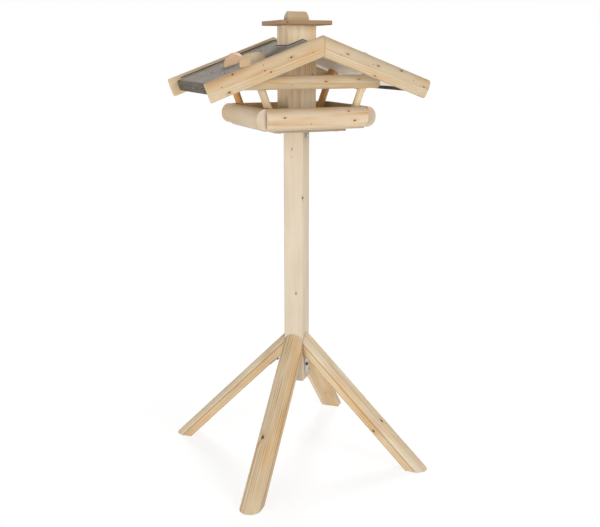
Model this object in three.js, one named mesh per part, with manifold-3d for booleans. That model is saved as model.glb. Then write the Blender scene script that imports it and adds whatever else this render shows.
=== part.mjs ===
// Timber bird table on a four-legged stand, with a seed silo through its felted roof.
// Millimetres, +Z up. The origin is on the ground under the post's axis, +X runs along the gable,
// +Y runs to the back. The house is square to X and Y, and the stand is turned under it.
import * as THREE from 'three';
import { mergeVertices } from 'three/addons/utils/BufferGeometryUtils.js';
import Module from 'manifold-3d';

// Fits
const clearance = 0.3; // between two pieces that touch
const holeClearance = 0.3; // round a screw's shank, on the radius
const siloClearance = 0.5; // between the silo and the roof notched round it
const blockClearance = 1.2; // between the lid's block and the silo's walls
const overrun = 60; // how far a cut runs past what it cuts

// Stand
const postWidth = 50;
const postLength = 633;
const postEdge = 3.5; // rounding of the post's long edges
const postBelowLegs = 123; // how far the post hangs below the tops of the legs
const legTopHeight = 323;
const legWidth = 50.5;
const legThickness = 35;
const legFlank = 18; // straight flank between the flat and the round of the section
const legAngle = THREE.MathUtils.degToRad(45.5); // below the level
const legCount = 4;
const standTurn = THREE.MathUtils.degToRad(-42); // of the stand under the house

// Perforated steel straps, one in the angle under each leg
const strapWidth = 20;
const strapThickness = 1.6;
const strapBend = 2.2; // flat left on the outside of the bend
const strapPostLength = 56;
const strapLegLength = 62;
const strapHole = 5;
const strapHolePitch = 13;
const strapHoleMargin = 9; // from a free end to the first hole

// Screws
const screwShank = 4;
const screwLength = 15;
const screwTip = 4;
const screwHead = 8;
const screwHeadHeight = 2.6;
const screwHeadRim = 1.1; // height of the straight rim under the dome
const screwHoleDepth = 15.5; // of a pilot hole, below the face that the screw enters

// Head plate and the two steel angles that hold it on the post
const plateWidth = 180;
const plateThickness = 7;
const plateCorner = 4;
const plateScrewInset = 18;
const angleFlange = 20;
const angleWidth = 20;
const angleThickness = 1.6;
const angleHoleInset = 7; // from a flange's free end

// Tray
const trayInnerWidth = 250; // between the flats of the side rails
const trayInnerDepth = 230; // between the flats of the cross rails
const floorThickness = 11;
const railHeight = 47;
const railThickness = 23.5;
const railFlank = 4;
const railLap = 7; // how far the rails reach below the floor's top
const sideRailOverrun = 12; // how far a side rail runs past the flat of a cross rail

// Corner dowels, square to the roof
const dowelDiameter = 18;
const dowelSideInset = 30.2; // on the floor, from a side rail's flat to a dowel's axis
const dowelEndInset = 18; // from a cross rail's flat to a dowel's axis

// Tie beams, outside the dowels under the gables
const tieHeight = 31.5;
const tieThickness = 16;
const tieFlank = 3;
const tieOverhang = 28; // how far each end runs past the side rails' flats, before the shift
const tieShift = 8; // how far the beams are set to the right

// Silo
const siloWidth = 71;
const siloWall = 12;
const siloEdge = 1.2;
const siloLength = 224;
const outletHeight = 22;

// Roof
const roofPitch = THREE.MathUtils.degToRad(20.35);
const ridgeAboveFloor = 185.7; // from the tray's floor to the ridge of the roof boards' top faces
const roofBoardRun = 262; // down the slope, from the ridge to the eave
const roofBoardThickness = 15;
const roofEndOverhang = 34; // from a cross rail's flat to the flat of the barge board above it
const feltThickness = 2.2;
const feltFold = 21; // how far the felt is turned down over the eave
const bargeRun = 288; // down the slope, from the ridge to the end
const bargeHeight = 44;
const bargeThickness = 14;
const bargeFlank = 4;
const bargeAboveFelt = 11;

// Dormers: short lengths of the rails' stock, flat down on the slopes, two to a slope
const dormerLength = 38;
const frontDormerRun = 143; // down the slope, from the ridge to its middle
const frontDormerForward = 71.5; // from the middle of the roof
const frontDormerTurn = THREE.MathUtils.degToRad(21); // its rear end is turned down the slope
const rearDormerRun = 148;
const rearDormerBack = 45;
const rearDormerTurn = THREE.MathUtils.degToRad(-22); // its rear end is turned up the slope

// Knob
const knobWidth = 25;
const knobFlank = 9;
const knobLength = 58;
const knobHeight = 22.5;
const knobTaper = 5; // how far each end leans in from foot to crown

// Lid
const lidWidth = 128;
const lidThickness = 10.5;
const lidCorner = 2.5;
const lidEdge = 1.6; // bevel of its rims
const lidBlockThickness = 12;

// Facets
const arcSteps = 7; // to a quarter of a wooden round
const dowelSides = 20;
const holeSides = 12;
const screwSides = 12;
const cornerSteps = 3;

// Colours and finish
const timber = { color: 0xd9bf9c, roughness: 0.72, metalness: 0 };
const timberWarm = { color: 0xd1aa7c, roughness: 0.74, metalness: 0 };
const timberPale = { color: 0xe0cbae, roughness: 0.7, metalness: 0 };
const felt = { color: 0x8f8a83, roughness: 0.97, metalness: 0 };
const steel = { color: 0xb9b7b0, roughness: 0.42, metalness: 0.9 };

// Heights from the ground up, and places that follow the tray
const postBase = legTopHeight - postBelowLegs;
const postTop = postBase + postLength;
const plateBase = postTop + clearance;
const plateTop = plateBase + plateThickness;
const floorBase = plateTop + clearance;
const floorTop = floorBase + floorThickness;
const railBase = floorTop - railLap;
const siloBase = floorTop + clearance;
const siloTop = siloBase + siloLength;
const lidBase = siloTop + clearance;
const lidTop = lidBase + lidThickness;
const sideRailLength = trayInnerDepth + 2 * sideRailOverrun;
const dowelAcross = trayInnerWidth / 2 - dowelSideInset;
const dowelAlong = trayInnerDepth / 2 - dowelEndInset;
const tieHalfLength = trayInnerWidth / 2 + tieOverhang;
const roofDepth = trayInnerDepth + 2 * roofEndOverhang; // between the flats of the barge boards
const boardRidge = floorTop + ridgeAboveFloor;

const wasm = await Module();
wasm.setup();

const up = new THREE.Vector3(0, 0, 1);
const along = new THREE.Vector3(0, 1, 0);
const across = new THREE.Vector3(1, 0, 0);
const table = new THREE.Group();

// Joins the vertices that faces share. It comes before a geometry is turned or moved, while they still agree.
function welded(geometry) {
  geometry.deleteAttribute('normal');
  geometry.deleteAttribute('uv');
  const merged = mergeVertices(geometry);
  const corners = [];
  for (let i = 0; i < merged.index.count; i += 3) {
    const [a, b, c] = [0, 1, 2].map((k) => merged.index.getX(i + k));
    if (a !== b && b !== c && c !== a) corners.push(a, b, c);
  }
  merged.setIndex(corners);
  return merged;
}

// A welded geometry becomes a solid for a cut, and comes back as a geometry
function solidOf(geometry) {
  return new wasm.Manifold(new wasm.Mesh({
    numProp: 3,
    vertProperties: new Float32Array(geometry.attributes.position.array),
    triVerts: new Uint32Array(geometry.index.array),
  }));
}

function geometryOf(solid) {
  const mesh = solid.getMesh();
  const geometry = new THREE.BufferGeometry();
  geometry.setAttribute('position', new THREE.BufferAttribute(new Float32Array(mesh.vertProperties), 3));
  geometry.setIndex(new THREE.BufferAttribute(new Uint32Array(mesh.triVerts), 1));
  return geometry;
}

function cut(geometry, ...tools) {
  return geometryOf(tools.reduce((solid, tool) => solid.subtract(solidOf(tool)), solidOf(geometry)));
}

// Adds a named piece to a group, with a normal for each facet
function addPiece(name, geometry, finish, parent = table) {
  const facets = geometry.toNonIndexed();
  facets.computeVertexNormals();
  const mesh = new THREE.Mesh(facets, new THREE.MeshStandardMaterial(finish));
  mesh.name = name;
  parent.add(mesh);
  return mesh;
}

// Sections: a rectangle with rounded corners, and half-round stock with its flat on the X axis
function roundedRectangle(width, height, radius) {
  const [x, y] = [width / 2 - radius, height / 2 - radius];
  const shape = new THREE.Shape();
  shape.absarc(x, -y, radius, -Math.PI / 2, 0, false);
  shape.absarc(x, y, radius, 0, Math.PI / 2, false);
  shape.absarc(-x, y, radius, Math.PI / 2, Math.PI, false);
  shape.absarc(-x, -y, radius, Math.PI, Math.PI * 1.5, false);
  shape.closePath();
  return shape;
}

function halfRound(width, thickness, flank) {
  const shape = new THREE.Shape();
  shape.moveTo(-width / 2, 0);
  shape.lineTo(width / 2, 0);
  shape.lineTo(width / 2, flank);
  shape.absellipse(0, flank, width / 2, thickness - flank, 0, Math.PI, false);
  shape.closePath();
  return shape;
}

// Extrudes a section along its own Z, from 0 to length
function stock(section, length, steps = arcSteps * 2) {
  return welded(new THREE.ExtrudeGeometry(section, { depth: length, bevelEnabled: false, curveSegments: steps }));
}

// Turns a geometry so that its Y looks along outward and its Z along run, then moves it to a point
function lay(geometry, outward, run, point) {
  const side = new THREE.Vector3().crossVectors(outward, run);
  const turn = new THREE.Matrix4().makeBasis(side, outward, run).setPosition(point);
  return geometry.applyMatrix4(turn);
}

// A block between two corners
function block(low, high) {
  const size = new THREE.Vector3().subVectors(high, low);
  const geometry = welded(new THREE.BoxGeometry(size.x, size.y, size.z));
  const middle = new THREE.Vector3().addVectors(low, high).multiplyScalar(0.5);
  return geometry.translate(middle.x, middle.y, middle.z);
}

// A round hole or pin from a point, along a direction
function rod(diameter, length, point, direction, sides = holeSides) {
  const geometry = welded(new THREE.CylinderGeometry(diameter / 2, diameter / 2, length, sides));
  geometry.translate(0, length / 2, 0);
  geometry.applyQuaternion(new THREE.Quaternion().setFromUnitVectors(along, direction));
  return geometry.translate(point.x, point.y, point.z);
}

// An outline in the X-Z plane, extruded along Y about the middle
function prism(points, depth) {
  const shape = new THREE.Shape(points.map(([x, z]) => new THREE.Vector2(x, z)));
  const geometry = welded(new THREE.ExtrudeGeometry(shape, { depth, bevelEnabled: false }));
  return geometry.rotateX(Math.PI / 2).translate(0, depth / 2, 0);
}

// A pan-head screw whose head stands on the origin and whose shank runs down
function screwGeometry() {
  const profile = [
    [0, -screwLength],
    [screwShank / 2, screwTip - screwLength],
    [screwShank / 2, 0],
    [screwHead / 2, 0],
    [screwHead / 2, screwHeadRim],
    [screwHead / 3, (screwHeadRim + screwHeadHeight) / 2 + screwHeadRim / 3],
    [0, screwHeadHeight],
  ].map(([radius, height]) => new THREE.Vector2(radius, height));
  return welded(new THREE.LatheGeometry(profile, screwSides)).rotateX(Math.PI / 2);
}

const pilot = screwShank + 2 * holeClearance;

// Adds a screw that stands on a face: seat is a point on that face, outward its direction
function addScrew(name, seat, outward, parent = table) {
  const screw = addPiece(name, screwGeometry(), steel, parent);
  screw.position.copy(seat).addScaledVector(outward, clearance);
  screw.quaternion.setFromUnitVectors(up, outward);
  return screw;
}

// The pilot hole for a screw that enters a piece at a point, going along inward
function pilotHole(point, inward) {
  const start = point.clone().addScaledVector(inward, -clearance);
  return rod(pilot, screwHoleDepth + clearance, start, inward);
}

// Stand: in each leg's own frame +X points away from the post
const stand = new THREE.Group();
stand.rotation.z = standTurn;
table.add(stand);

const legRun = new THREE.Vector3(Math.cos(legAngle), 0, -Math.sin(legAngle));
const legOut = new THREE.Vector3(Math.sin(legAngle), 0, Math.cos(legAngle));
const postFace = postWidth / 2;
const legUnderTop = legTopHeight - legThickness / Math.cos(legAngle);
const legStart = new THREE.Vector3(postFace + clearance, 0, legUnderTop);

// Strap: its outer bend lies in the angle between the post and the leg's underside
const strapBack = postFace + clearance;
const strapApex = new THREE.Vector3(strapBack, 0, legUnderTop - clearance / Math.cos(legAngle));
const bendHalfAngle = (Math.PI / 2 - legAngle) / 2;
const strapInnerApex = new THREE.Vector3(strapBack + strapThickness, 0,
  strapApex.z - strapThickness / Math.tan(bendHalfAngle));

function strapLegPoint(distance, depth) {
  return strapApex.clone().addScaledVector(legRun, distance).addScaledVector(legOut, -depth);
}

function strapPostPoint(distance, depth) {
  return new THREE.Vector3(strapBack + depth, 0, strapApex.z - distance);
}

function strapHoleDistances(length) {
  const count = Math.floor((length - 2 * strapHoleMargin) / strapHolePitch) + 1;
  return Array.from({ length: count }, (_, i) => length - strapHoleMargin - i * strapHolePitch);
}

// The second hole from each free end takes the screw
const postHoles = strapHoleDistances(strapPostLength);
const legHoles = strapHoleDistances(strapLegLength);
const [, postScrewDistance] = postHoles;
const [, legScrewDistance] = legHoles;

function strapGeometry() {
  const outline = [
    strapPostPoint(strapPostLength, 0),
    strapPostPoint(strapPostLength, strapThickness),
    strapInnerApex,
    strapLegPoint(strapLegLength, strapThickness),
    strapLegPoint(strapLegLength, 0),
    strapLegPoint(strapBend, 0),
    strapPostPoint(strapBend, 0),
  ].map((point) => [point.x, point.z]);
  const holes = [];
  for (const distance of postHoles) {
    holes.push(rod(strapHole, 2 * strapThickness, strapPostPoint(distance, -strapThickness / 2), across));
  }
  const inward = legOut.clone().negate();
  for (const distance of legHoles) {
    holes.push(rod(strapHole, 2 * strapThickness, strapLegPoint(distance, -strapThickness / 2), inward));
  }
  return cut(prism(outline, strapWidth), ...holes);
}

const postScrewSeat = strapPostPoint(postScrewDistance, strapThickness);
const legScrewSeat = strapLegPoint(legScrewDistance, strapThickness);
const plateScrewPlaces = [[1, 1], [-1, 1], [-1, -1], [1, -1]];

// Post, with a pilot hole for each strap and each head angle
const angleBack = postFace + clearance;
const angleTop = plateBase - clearance;
const angleScrewDrop = angleFlange - angleHoleInset;
const postCuts = [];
for (let i = 0; i < legCount; i += 1) {
  const turn = new THREE.Matrix4().makeRotationZ((i * 2 * Math.PI) / legCount);
  const entry = new THREE.Vector3(postFace, 0, postScrewSeat.z);
  postCuts.push(pilotHole(entry, across.clone().negate()).applyMatrix4(turn));
}
for (const side of [1, -1]) {
  const entry = new THREE.Vector3(side * postFace, 0, angleTop - angleScrewDrop);
  postCuts.push(pilotHole(entry, across.clone().multiplyScalar(-side)));
}
const postGeometry = stock(roundedRectangle(postWidth, postWidth, postEdge), postLength, cornerSteps);
addPiece('post', cut(postGeometry.translate(0, 0, postBase), ...postCuts), timberPale, stand);

// Legs, cut plumb against the post and level on the ground
function legGeometry() {
  const reach = (legTopHeight + legThickness) / Math.sin(legAngle) + overrun;
  const start = legStart.clone().addScaledVector(legRun, -overrun);
  const leg = lay(stock(halfRound(legWidth, legThickness, legFlank), reach + overrun), legOut, legRun, start);
  const insidePost = block(
    new THREE.Vector3(-reach, -legWidth, -reach),
    new THREE.Vector3(postFace + clearance, legWidth, reach + legTopHeight),
  );
  const underground = block(
    new THREE.Vector3(-reach, -legWidth, -reach),
    new THREE.Vector3(2 * reach, legWidth, 0),
  );
  const entry = legScrewSeat.clone().addScaledVector(legOut, strapThickness + clearance);
  return cut(leg, insidePost, underground, pilotHole(entry, legOut));
}

const legNames = ['right', 'rear', 'left', 'front'];
for (let i = 0; i < legCount; i += 1) {
  const corner = new THREE.Group();
  corner.rotation.z = (i * 2 * Math.PI) / legCount;
  stand.add(corner);
  addPiece(`${legNames[i]}_leg`, legGeometry(), timber, corner);
  addPiece(`${legNames[i]}_leg_strap`, strapGeometry(), steel, corner);
  addScrew(`${legNames[i]}_strap_post_screw`, postScrewSeat, across, corner);
  addScrew(`${legNames[i]}_strap_leg_screw`, legScrewSeat, legOut.clone().negate(), corner);
}

// Head angles: one flange on the post, one under the head plate
function angleGeometry() {
  const outline = [
    [angleBack, angleTop - angleFlange],
    [angleBack + angleThickness, angleTop - angleFlange],
    [angleBack + angleThickness, angleTop - angleThickness],
    [angleBack + angleFlange, angleTop - angleThickness],
    [angleBack + angleFlange, angleTop],
    [angleBack, angleTop],
  ];
  const postHole = new THREE.Vector3(angleBack - angleThickness / 2, 0, angleTop - angleScrewDrop);
  const plateHole = new THREE.Vector3(angleBack + angleScrewDrop, 0, angleTop - 1.5 * angleThickness);
  return cut(
    prism(outline, angleWidth),
    rod(strapHole, 2 * angleThickness, postHole, across),
    rod(strapHole, 2 * angleThickness, plateHole, up),
  );
}

const angleNames = ['right', 'left'];
const angleScrewEntries = [];
for (let i = 0; i < angleNames.length; i += 1) {
  const side = new THREE.Group();
  side.rotation.z = i * Math.PI;
  stand.add(side);
  addPiece(`${angleNames[i]}_head_angle`, angleGeometry(), steel, side);
  const onPost = new THREE.Vector3(angleBack + angleThickness, 0, angleTop - angleScrewDrop);
  const onPlate = new THREE.Vector3(angleBack + angleScrewDrop, 0, angleTop - angleThickness);
  addScrew(`${angleNames[i]}_angle_post_screw`, onPost, across, side);
  addScrew(`${angleNames[i]}_angle_plate_screw`, onPlate, up.clone().negate(), side);
  const place = onPlate.clone().applyAxisAngle(up, standTurn + i * Math.PI);
  angleScrewEntries.push(place);
}

// Head plate and tray floor, with pilot holes for what comes up from below
const plateScrewReach = plateWidth / 2 - plateScrewInset;
const plateScrewEntries = plateScrewPlaces.map(([x, y]) => (
  new THREE.Vector3(x * plateScrewReach, y * plateScrewReach, plateBase)));
const fromBelow = [...plateScrewEntries, ...angleScrewEntries];

function slab(width, depth, corner, base, thickness) {
  return stock(roundedRectangle(width, depth, corner), thickness, cornerSteps).translate(0, 0, base);
}

const plateHoles = fromBelow.map((entry) => (
  rod(pilot, overrun, new THREE.Vector3(entry.x, entry.y, plateBase - overrun / 2), up)));
addPiece('head_plate', cut(slab(plateWidth, plateWidth, plateCorner, plateBase, plateThickness), ...plateHoles),
  timber);

const floorHoles = fromBelow.map((entry) => (
  rod(pilot, screwLength, new THREE.Vector3(entry.x, entry.y, entry.z), up)));
const floorWidth = trayInnerWidth - 2 * clearance;
const floorDepth = trayInnerDepth - 2 * clearance;
addPiece('tray_floor', cut(slab(floorWidth, floorDepth, siloEdge, floorBase, floorThickness), ...floorHoles),
  timberPale);
plateScrewEntries.forEach((entry, i) => addScrew(`plate_screw_${i + 1}`, entry, up.clone().negate()));

// Tray rails of half-round stock: the side rails run past the cross rails' ends
const railMiddle = railBase + railHeight / 2;
const railSection = halfRound(railHeight, railThickness, railFlank);
const crossRailLength = trayInnerWidth - 2 * clearance;
for (const side of [1, -1]) {
  const outward = across.clone().multiplyScalar(side);
  const start = new THREE.Vector3((side * trayInnerWidth) / 2, -sideRailLength / 2, railMiddle);
  addPiece(side > 0 ? 'right_tray_rail' : 'left_tray_rail',
    lay(stock(railSection, sideRailLength), outward, along, start), timber);
}
for (const side of [1, -1]) {
  const outward = along.clone().multiplyScalar(side);
  const start = new THREE.Vector3(-crossRailLength / 2, (side * trayInnerDepth) / 2, railMiddle);
  addPiece(side > 0 ? 'rear_tray_rail' : 'front_tray_rail',
    lay(stock(railSection, crossRailLength), outward, across, start), timber);
}

// Silo: the front and rear boards stand on the floor, the side boards stop above it as seed outlets
function siloBoard(width, thickness, base, x, y) {
  const board = stock(roundedRectangle(width, thickness, siloEdge), siloTop - base, cornerSteps);
  return board.translate(x, y, base);
}

const siloWallMiddle = (siloWidth - siloWall) / 2;
const sideBoardDepth = siloWidth - 2 * siloWall - 2 * clearance;
addPiece('front_silo_board', siloBoard(siloWidth, siloWall, siloBase, 0, -siloWallMiddle), timber);
addPiece('rear_silo_board', siloBoard(siloWidth, siloWall, siloBase, 0, siloWallMiddle), timber);
addPiece('right_silo_board', siloBoard(siloWall, sideBoardDepth, siloBase + outletHeight, siloWallMiddle, 0),
  timber);
addPiece('left_silo_board', siloBoard(siloWall, sideBoardDepth, siloBase + outletHeight, -siloWallMiddle, 0),
  timber);

// Roof: a point on the right slope, from its run down the slope and its height off the boards' tops
const slopeDown = new THREE.Vector3(Math.cos(roofPitch), 0, -Math.sin(roofPitch));
const slopeUp = new THREE.Vector3(Math.sin(roofPitch), 0, Math.cos(roofPitch));

function onSlope(run, height) {
  return [
    run * slopeDown.x + height * slopeUp.x,
    boardRidge + run * slopeDown.z + height * slopeUp.z,
  ];
}

// The run at which a height off the boards' tops meets a plumb line
function runAt(x, height) {
  return (x - height * slopeUp.x) / slopeDown.x;
}

function mirrored(points, side) {
  const turned = points.map(([x, z]) => [side * x, z]);
  return side > 0 ? turned : turned.reverse();
}

const ridgeGap = clearance / 2;
const feltBase = clearance;
const feltTop = feltBase + feltThickness;
const eaveFoldStart = roofBoardRun + clearance;
const eaveFoldEnd = eaveFoldStart + feltThickness;
const boardOutline = [
  onSlope(runAt(ridgeGap, 0), 0),
  onSlope(roofBoardRun, 0),
  onSlope(roofBoardRun, -roofBoardThickness),
  onSlope(runAt(ridgeGap, -roofBoardThickness), -roofBoardThickness),
].reverse();
const feltOutline = [
  onSlope(runAt(ridgeGap, feltTop), feltTop),
  onSlope(eaveFoldEnd, feltTop),
  onSlope(eaveFoldEnd, feltTop - feltFold),
  onSlope(eaveFoldStart, feltTop - feltFold),
  onSlope(eaveFoldStart, feltBase),
  onSlope(runAt(ridgeGap, feltBase), feltBase),
].reverse();
const betweenBarges = roofDepth - 2 * clearance;
const siloNotch = block(
  new THREE.Vector3(-siloWidth / 2 - siloClearance, -siloWidth / 2 - siloClearance, floorTop),
  new THREE.Vector3(siloWidth / 2 + siloClearance, siloWidth / 2 + siloClearance, lidTop),
);
for (const side of [1, -1]) {
  const name = side > 0 ? 'right' : 'left';
  addPiece(`${name}_roof_board`, cut(prism(mirrored(boardOutline, side), betweenBarges), siloNotch), timberPale);
  addPiece(`${name}_roof_felt`, cut(prism(mirrored(feltOutline, side), betweenBarges), siloNotch), felt);
}

// Barge boards, mitred plumb at the apex and square at the eave
const bargeMiddle = feltTop + bargeAboveFelt - bargeHeight / 2;
const bargeSection = halfRound(bargeHeight, bargeThickness, bargeFlank);

function bargeGeometry(side, end) {
  const run = new THREE.Vector3(side * slopeDown.x, 0, slopeDown.z);
  const outward = along.clone().multiplyScalar(end);
  const [x, z] = onSlope(-overrun, bargeMiddle);
  const start = new THREE.Vector3(side * x, (end * roofDepth) / 2, z);
  const board = lay(stock(bargeSection, bargeRun + overrun), outward, run, start);
  const beyond = side > 0 ? [-2 * overrun, ridgeGap] : [-ridgeGap, 2 * overrun];
  const pastApex = block(
    new THREE.Vector3(beyond[0], -roofDepth, floorTop),
    new THREE.Vector3(beyond[1], roofDepth, boardRidge + 2 * overrun),
  );
  return cut(board, pastApex);
}

for (const end of [-1, 1]) {
  for (const side of [1, -1]) {
    const name = `${end < 0 ? 'front' : 'rear'}_${side > 0 ? 'right' : 'left'}_barge`;
    addPiece(name, bargeGeometry(side, end), timber);
  }
}

// Dormers, flat down on the felt: their length runs along the roof, but for a turn
const dormers = [
  { end: 'front', run: frontDormerRun, place: -frontDormerForward, turn: frontDormerTurn },
  { end: 'rear', run: rearDormerRun, place: rearDormerBack, turn: rearDormerTurn },
];

function dormerGeometry(side, { run, place, turn }) {
  const down = new THREE.Vector3(side * slopeDown.x, 0, slopeDown.z);
  const outward = new THREE.Vector3(side * slopeUp.x, 0, slopeUp.z);
  const length = along.clone().multiplyScalar(Math.cos(turn)).addScaledVector(down, Math.sin(turn));
  const [x, z] = onSlope(run, feltTop + clearance);
  const start = new THREE.Vector3(side * x, place, z).addScaledVector(length, -dormerLength / 2);
  return lay(stock(railSection, dormerLength), outward, length, start);
}

for (const dormer of dormers) {
  for (const side of [1, -1]) {
    addPiece(`${dormer.end}_${side > 0 ? 'right' : 'left'}_dormer`, dormerGeometry(side, dormer), timberWarm);
  }
}

// Corner dowels, from the floor to the roof's underside and square to it
const underside = -roofBoardThickness - clearance;
const dowelBase = floorTop + clearance;

function dowelGeometry(side, y) {
  const direction = new THREE.Vector3(side * slopeUp.x, 0, slopeUp.z);
  const foot = new THREE.Vector3(side * dowelAcross, y, floorTop);
  const [topX, topZ] = onSlope(0, underside);
  const toRoof = (topX - dowelAcross) * slopeUp.x + (topZ - floorTop) * slopeUp.z;
  const start = foot.clone().addScaledVector(direction, -overrun);
  const body = rod(dowelDiameter, toRoof + overrun, start, direction, dowelSides);
  const underFloor = block(
    new THREE.Vector3(side * dowelAcross - 2 * overrun, y - dowelDiameter, floorTop - 2 * overrun),
    new THREE.Vector3(side * dowelAcross + 2 * overrun, y + dowelDiameter, dowelBase),
  );
  return cut(body, underFloor);
}

for (const end of [-1, 1]) {
  for (const side of [1, -1]) {
    const name = `${end < 0 ? 'front' : 'rear'}_${side > 0 ? 'right' : 'left'}_dowel`;
    addPiece(name, dowelGeometry(side, end * dowelAlong), timber);
  }
}

// Tie beams: flat against the dowels, with the corner that would meet a roof board trimmed off
const tieTop = onSlope(runAt(tieHalfLength, underside), underside)[1];
const tieFace = dowelAlong + dowelDiameter / 2 + clearance;
const tieSection = halfRound(tieHeight, tieThickness, tieFlank);
const aboveUnderside = [
  onSlope(0, underside),
  onSlope(roofBoardRun, underside),
  onSlope(roofBoardRun, underside + overrun),
  onSlope(0, underside + overrun),
];
const roofSpaces = [1, -1].map((side) => prism(mirrored(aboveUnderside, side), roofDepth));
for (const end of [-1, 1]) {
  const outward = along.clone().multiplyScalar(end);
  const start = new THREE.Vector3(tieShift - tieHalfLength, end * tieFace, tieTop - tieHeight / 2);
  const beam = lay(stock(tieSection, 2 * tieHalfLength), outward, across, start);
  addPiece(end < 0 ? 'front_tie_beam' : 'rear_tie_beam', cut(beam, ...roofSpaces), timber);
}

// Lid: board, locating block below it, knob above it
const lid = new THREE.Group();
table.add(lid);
const lidShape = roundedRectangle(lidWidth - 2 * lidEdge, lidWidth - 2 * lidEdge, lidCorner);
const lidBoard = welded(new THREE.ExtrudeGeometry(lidShape, {
  depth: lidThickness - 2 * lidEdge,
  bevelThickness: lidEdge,
  bevelSize: lidEdge,
  bevelSegments: 1,
  curveSegments: cornerSteps,
}));
lidBoard.translate(0, 0, lidBase + lidEdge);
const blockTop = lidBase - clearance;
const blockWidth = siloWidth - 2 * siloWall - 2 * blockClearance;
const blockBase = blockTop - lidBlockThickness;
const knobBase = lidTop + clearance;
const knobScrewEntry = new THREE.Vector3(0, 0, blockTop - screwHeadHeight);
const throughLid = rod(pilot, 2 * overrun, new THREE.Vector3(0, 0, blockTop - overrun), up);
const headRecess = rod(screwHead + 2 * holeClearance, overrun,
  new THREE.Vector3(0, 0, knobScrewEntry.z - overrun), up);
const lidBlock = slab(blockWidth, blockWidth, siloEdge, blockBase, lidBlockThickness);
addPiece('lid_board', cut(lidBoard, throughLid), timber, lid);
addPiece('lid_block', cut(lidBlock, throughLid, headRecess), timber, lid);
const knobStart = new THREE.Vector3(-knobLength, 0, knobBase);
const knobStock = lay(stock(halfRound(knobWidth, knobHeight, knobFlank), 2 * knobLength), up, across, knobStart);
const knobEnds = prism([
  [-knobLength / 2 - knobTaper, knobBase - knobHeight],
  [knobLength / 2 + knobTaper, knobBase - knobHeight],
  [knobLength / 2 - 2 * knobTaper, knobBase + 2 * knobHeight],
  [-knobLength / 2 + 2 * knobTaper, knobBase + 2 * knobHeight],
], 2 * knobWidth);
const knob = geometryOf(solidOf(knobStock).intersect(solidOf(knobEnds)));
addPiece('lid_knob', cut(knob, pilotHole(new THREE.Vector3(0, 0, knobScrewEntry.z), up)), timberWarm, lid);
addScrew('lid_knob_screw', knobScrewEntry, up.clone().negate(), lid);

export default table;
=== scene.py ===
# %% [markdown]
# # A timber bird table, dressed over its measured frame
# The real table is a small feeding house on a post with four splayed legs. It is made of
# half-round and planed spruce, with grey roofing felt on its two slopes, a square seed silo that
# comes up through the ridge, and a lid that lifts off. The frame that is loaded here holds each
# solid at its true size. The cells below build a finer piece for each solid, in the same place,
# and give it the grain, knots, felt, zinc and fixings that the solids leave out.

# %% Load the frame
import math
import bmesh
import bpy
import numpy as np
from mathutils import Matrix, Vector, noise


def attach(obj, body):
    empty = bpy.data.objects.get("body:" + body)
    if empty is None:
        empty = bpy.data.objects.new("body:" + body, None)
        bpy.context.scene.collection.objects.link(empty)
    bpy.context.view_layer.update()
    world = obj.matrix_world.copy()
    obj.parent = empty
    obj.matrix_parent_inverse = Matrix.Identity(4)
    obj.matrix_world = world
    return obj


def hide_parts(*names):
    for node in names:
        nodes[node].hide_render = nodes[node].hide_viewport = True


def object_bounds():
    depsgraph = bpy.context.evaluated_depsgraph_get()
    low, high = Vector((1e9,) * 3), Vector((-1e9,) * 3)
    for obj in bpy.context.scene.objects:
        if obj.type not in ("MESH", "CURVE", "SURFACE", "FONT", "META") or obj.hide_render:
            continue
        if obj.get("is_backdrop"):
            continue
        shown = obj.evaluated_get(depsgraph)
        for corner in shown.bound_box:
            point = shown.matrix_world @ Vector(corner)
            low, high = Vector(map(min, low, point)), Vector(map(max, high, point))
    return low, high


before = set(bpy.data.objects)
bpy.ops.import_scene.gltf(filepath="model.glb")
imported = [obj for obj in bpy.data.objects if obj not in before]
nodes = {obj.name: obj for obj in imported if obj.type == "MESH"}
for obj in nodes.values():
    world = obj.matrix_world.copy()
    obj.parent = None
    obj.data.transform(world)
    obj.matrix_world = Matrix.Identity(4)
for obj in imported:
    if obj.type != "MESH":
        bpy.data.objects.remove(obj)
frame_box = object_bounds()

# %% [markdown]
# ## Words that the whole file uses
# Lengths are in metres, as everything in Blender is here, so MM turns a maker's millimetres into
# them. The house stands square to X and Y. The stand is turned under it, so a leg's direction is
# found from that turn. FIT is the gap that the frame leaves between two pieces that touch.
# Heights and lengths of pieces aren't typed in again: `reach` measures a solid of the frame along
# any direction, and so a piece always has the size of its solid.

# %% Units, directions and measuring
MM = 0.001
UP = Vector((0, 0, 1))
ACROSS = Vector((1, 0, 0))
ALONG = Vector((0, 1, 0))
STAND_TURN = math.radians(-42)
LEG_ANGLE = math.radians(45.5)
ROOF_PITCH = math.radians(20.35)
FIT = 0.3 * MM
corners = {name: np.array([v.co for v in node.data.vertices]) for name, node in nodes.items()}


def reach(name, direction):
    """The least and greatest distance of a solid's corners along a direction."""
    along = corners[name] @ np.array(direction)
    return float(along.min()), float(along.max())


def thickness_of(name, direction):
    """How much room a solid takes along a direction."""
    low, high = reach(name, direction)
    return high - low


print("silo board:", round(thickness_of("front_silo_board", ALONG) / MM, 1), "mm thick")

# %% [markdown]
# ## Directions that come back
# Three families of directions are needed again and again: level ones, those of a leg, and those of
# a slope of the roof. A leg is found by its quarter of a full turn. A slope is found by its side,
# which is 1 for the right one and -1 for the left. The house has a barge board, a dormer and a
# dowel at each of its four corners, so the corners are listed once, by name, end and side.

# %% Directions and corners
LEGS = {"right": 0, "rear": 1, "left": 2, "front": 3}
HOUSE_CORNERS = [(f"{end_name}_{side_name}", end, side)
                 for end_name, end in (("front", -1), ("rear", 1))
                 for side_name, side in (("left", -1), ("right", 1))]


def level_way(angle):
    """The level direction at an angle from the X axis."""
    return Vector((math.cos(angle), math.sin(angle), 0))


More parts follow.
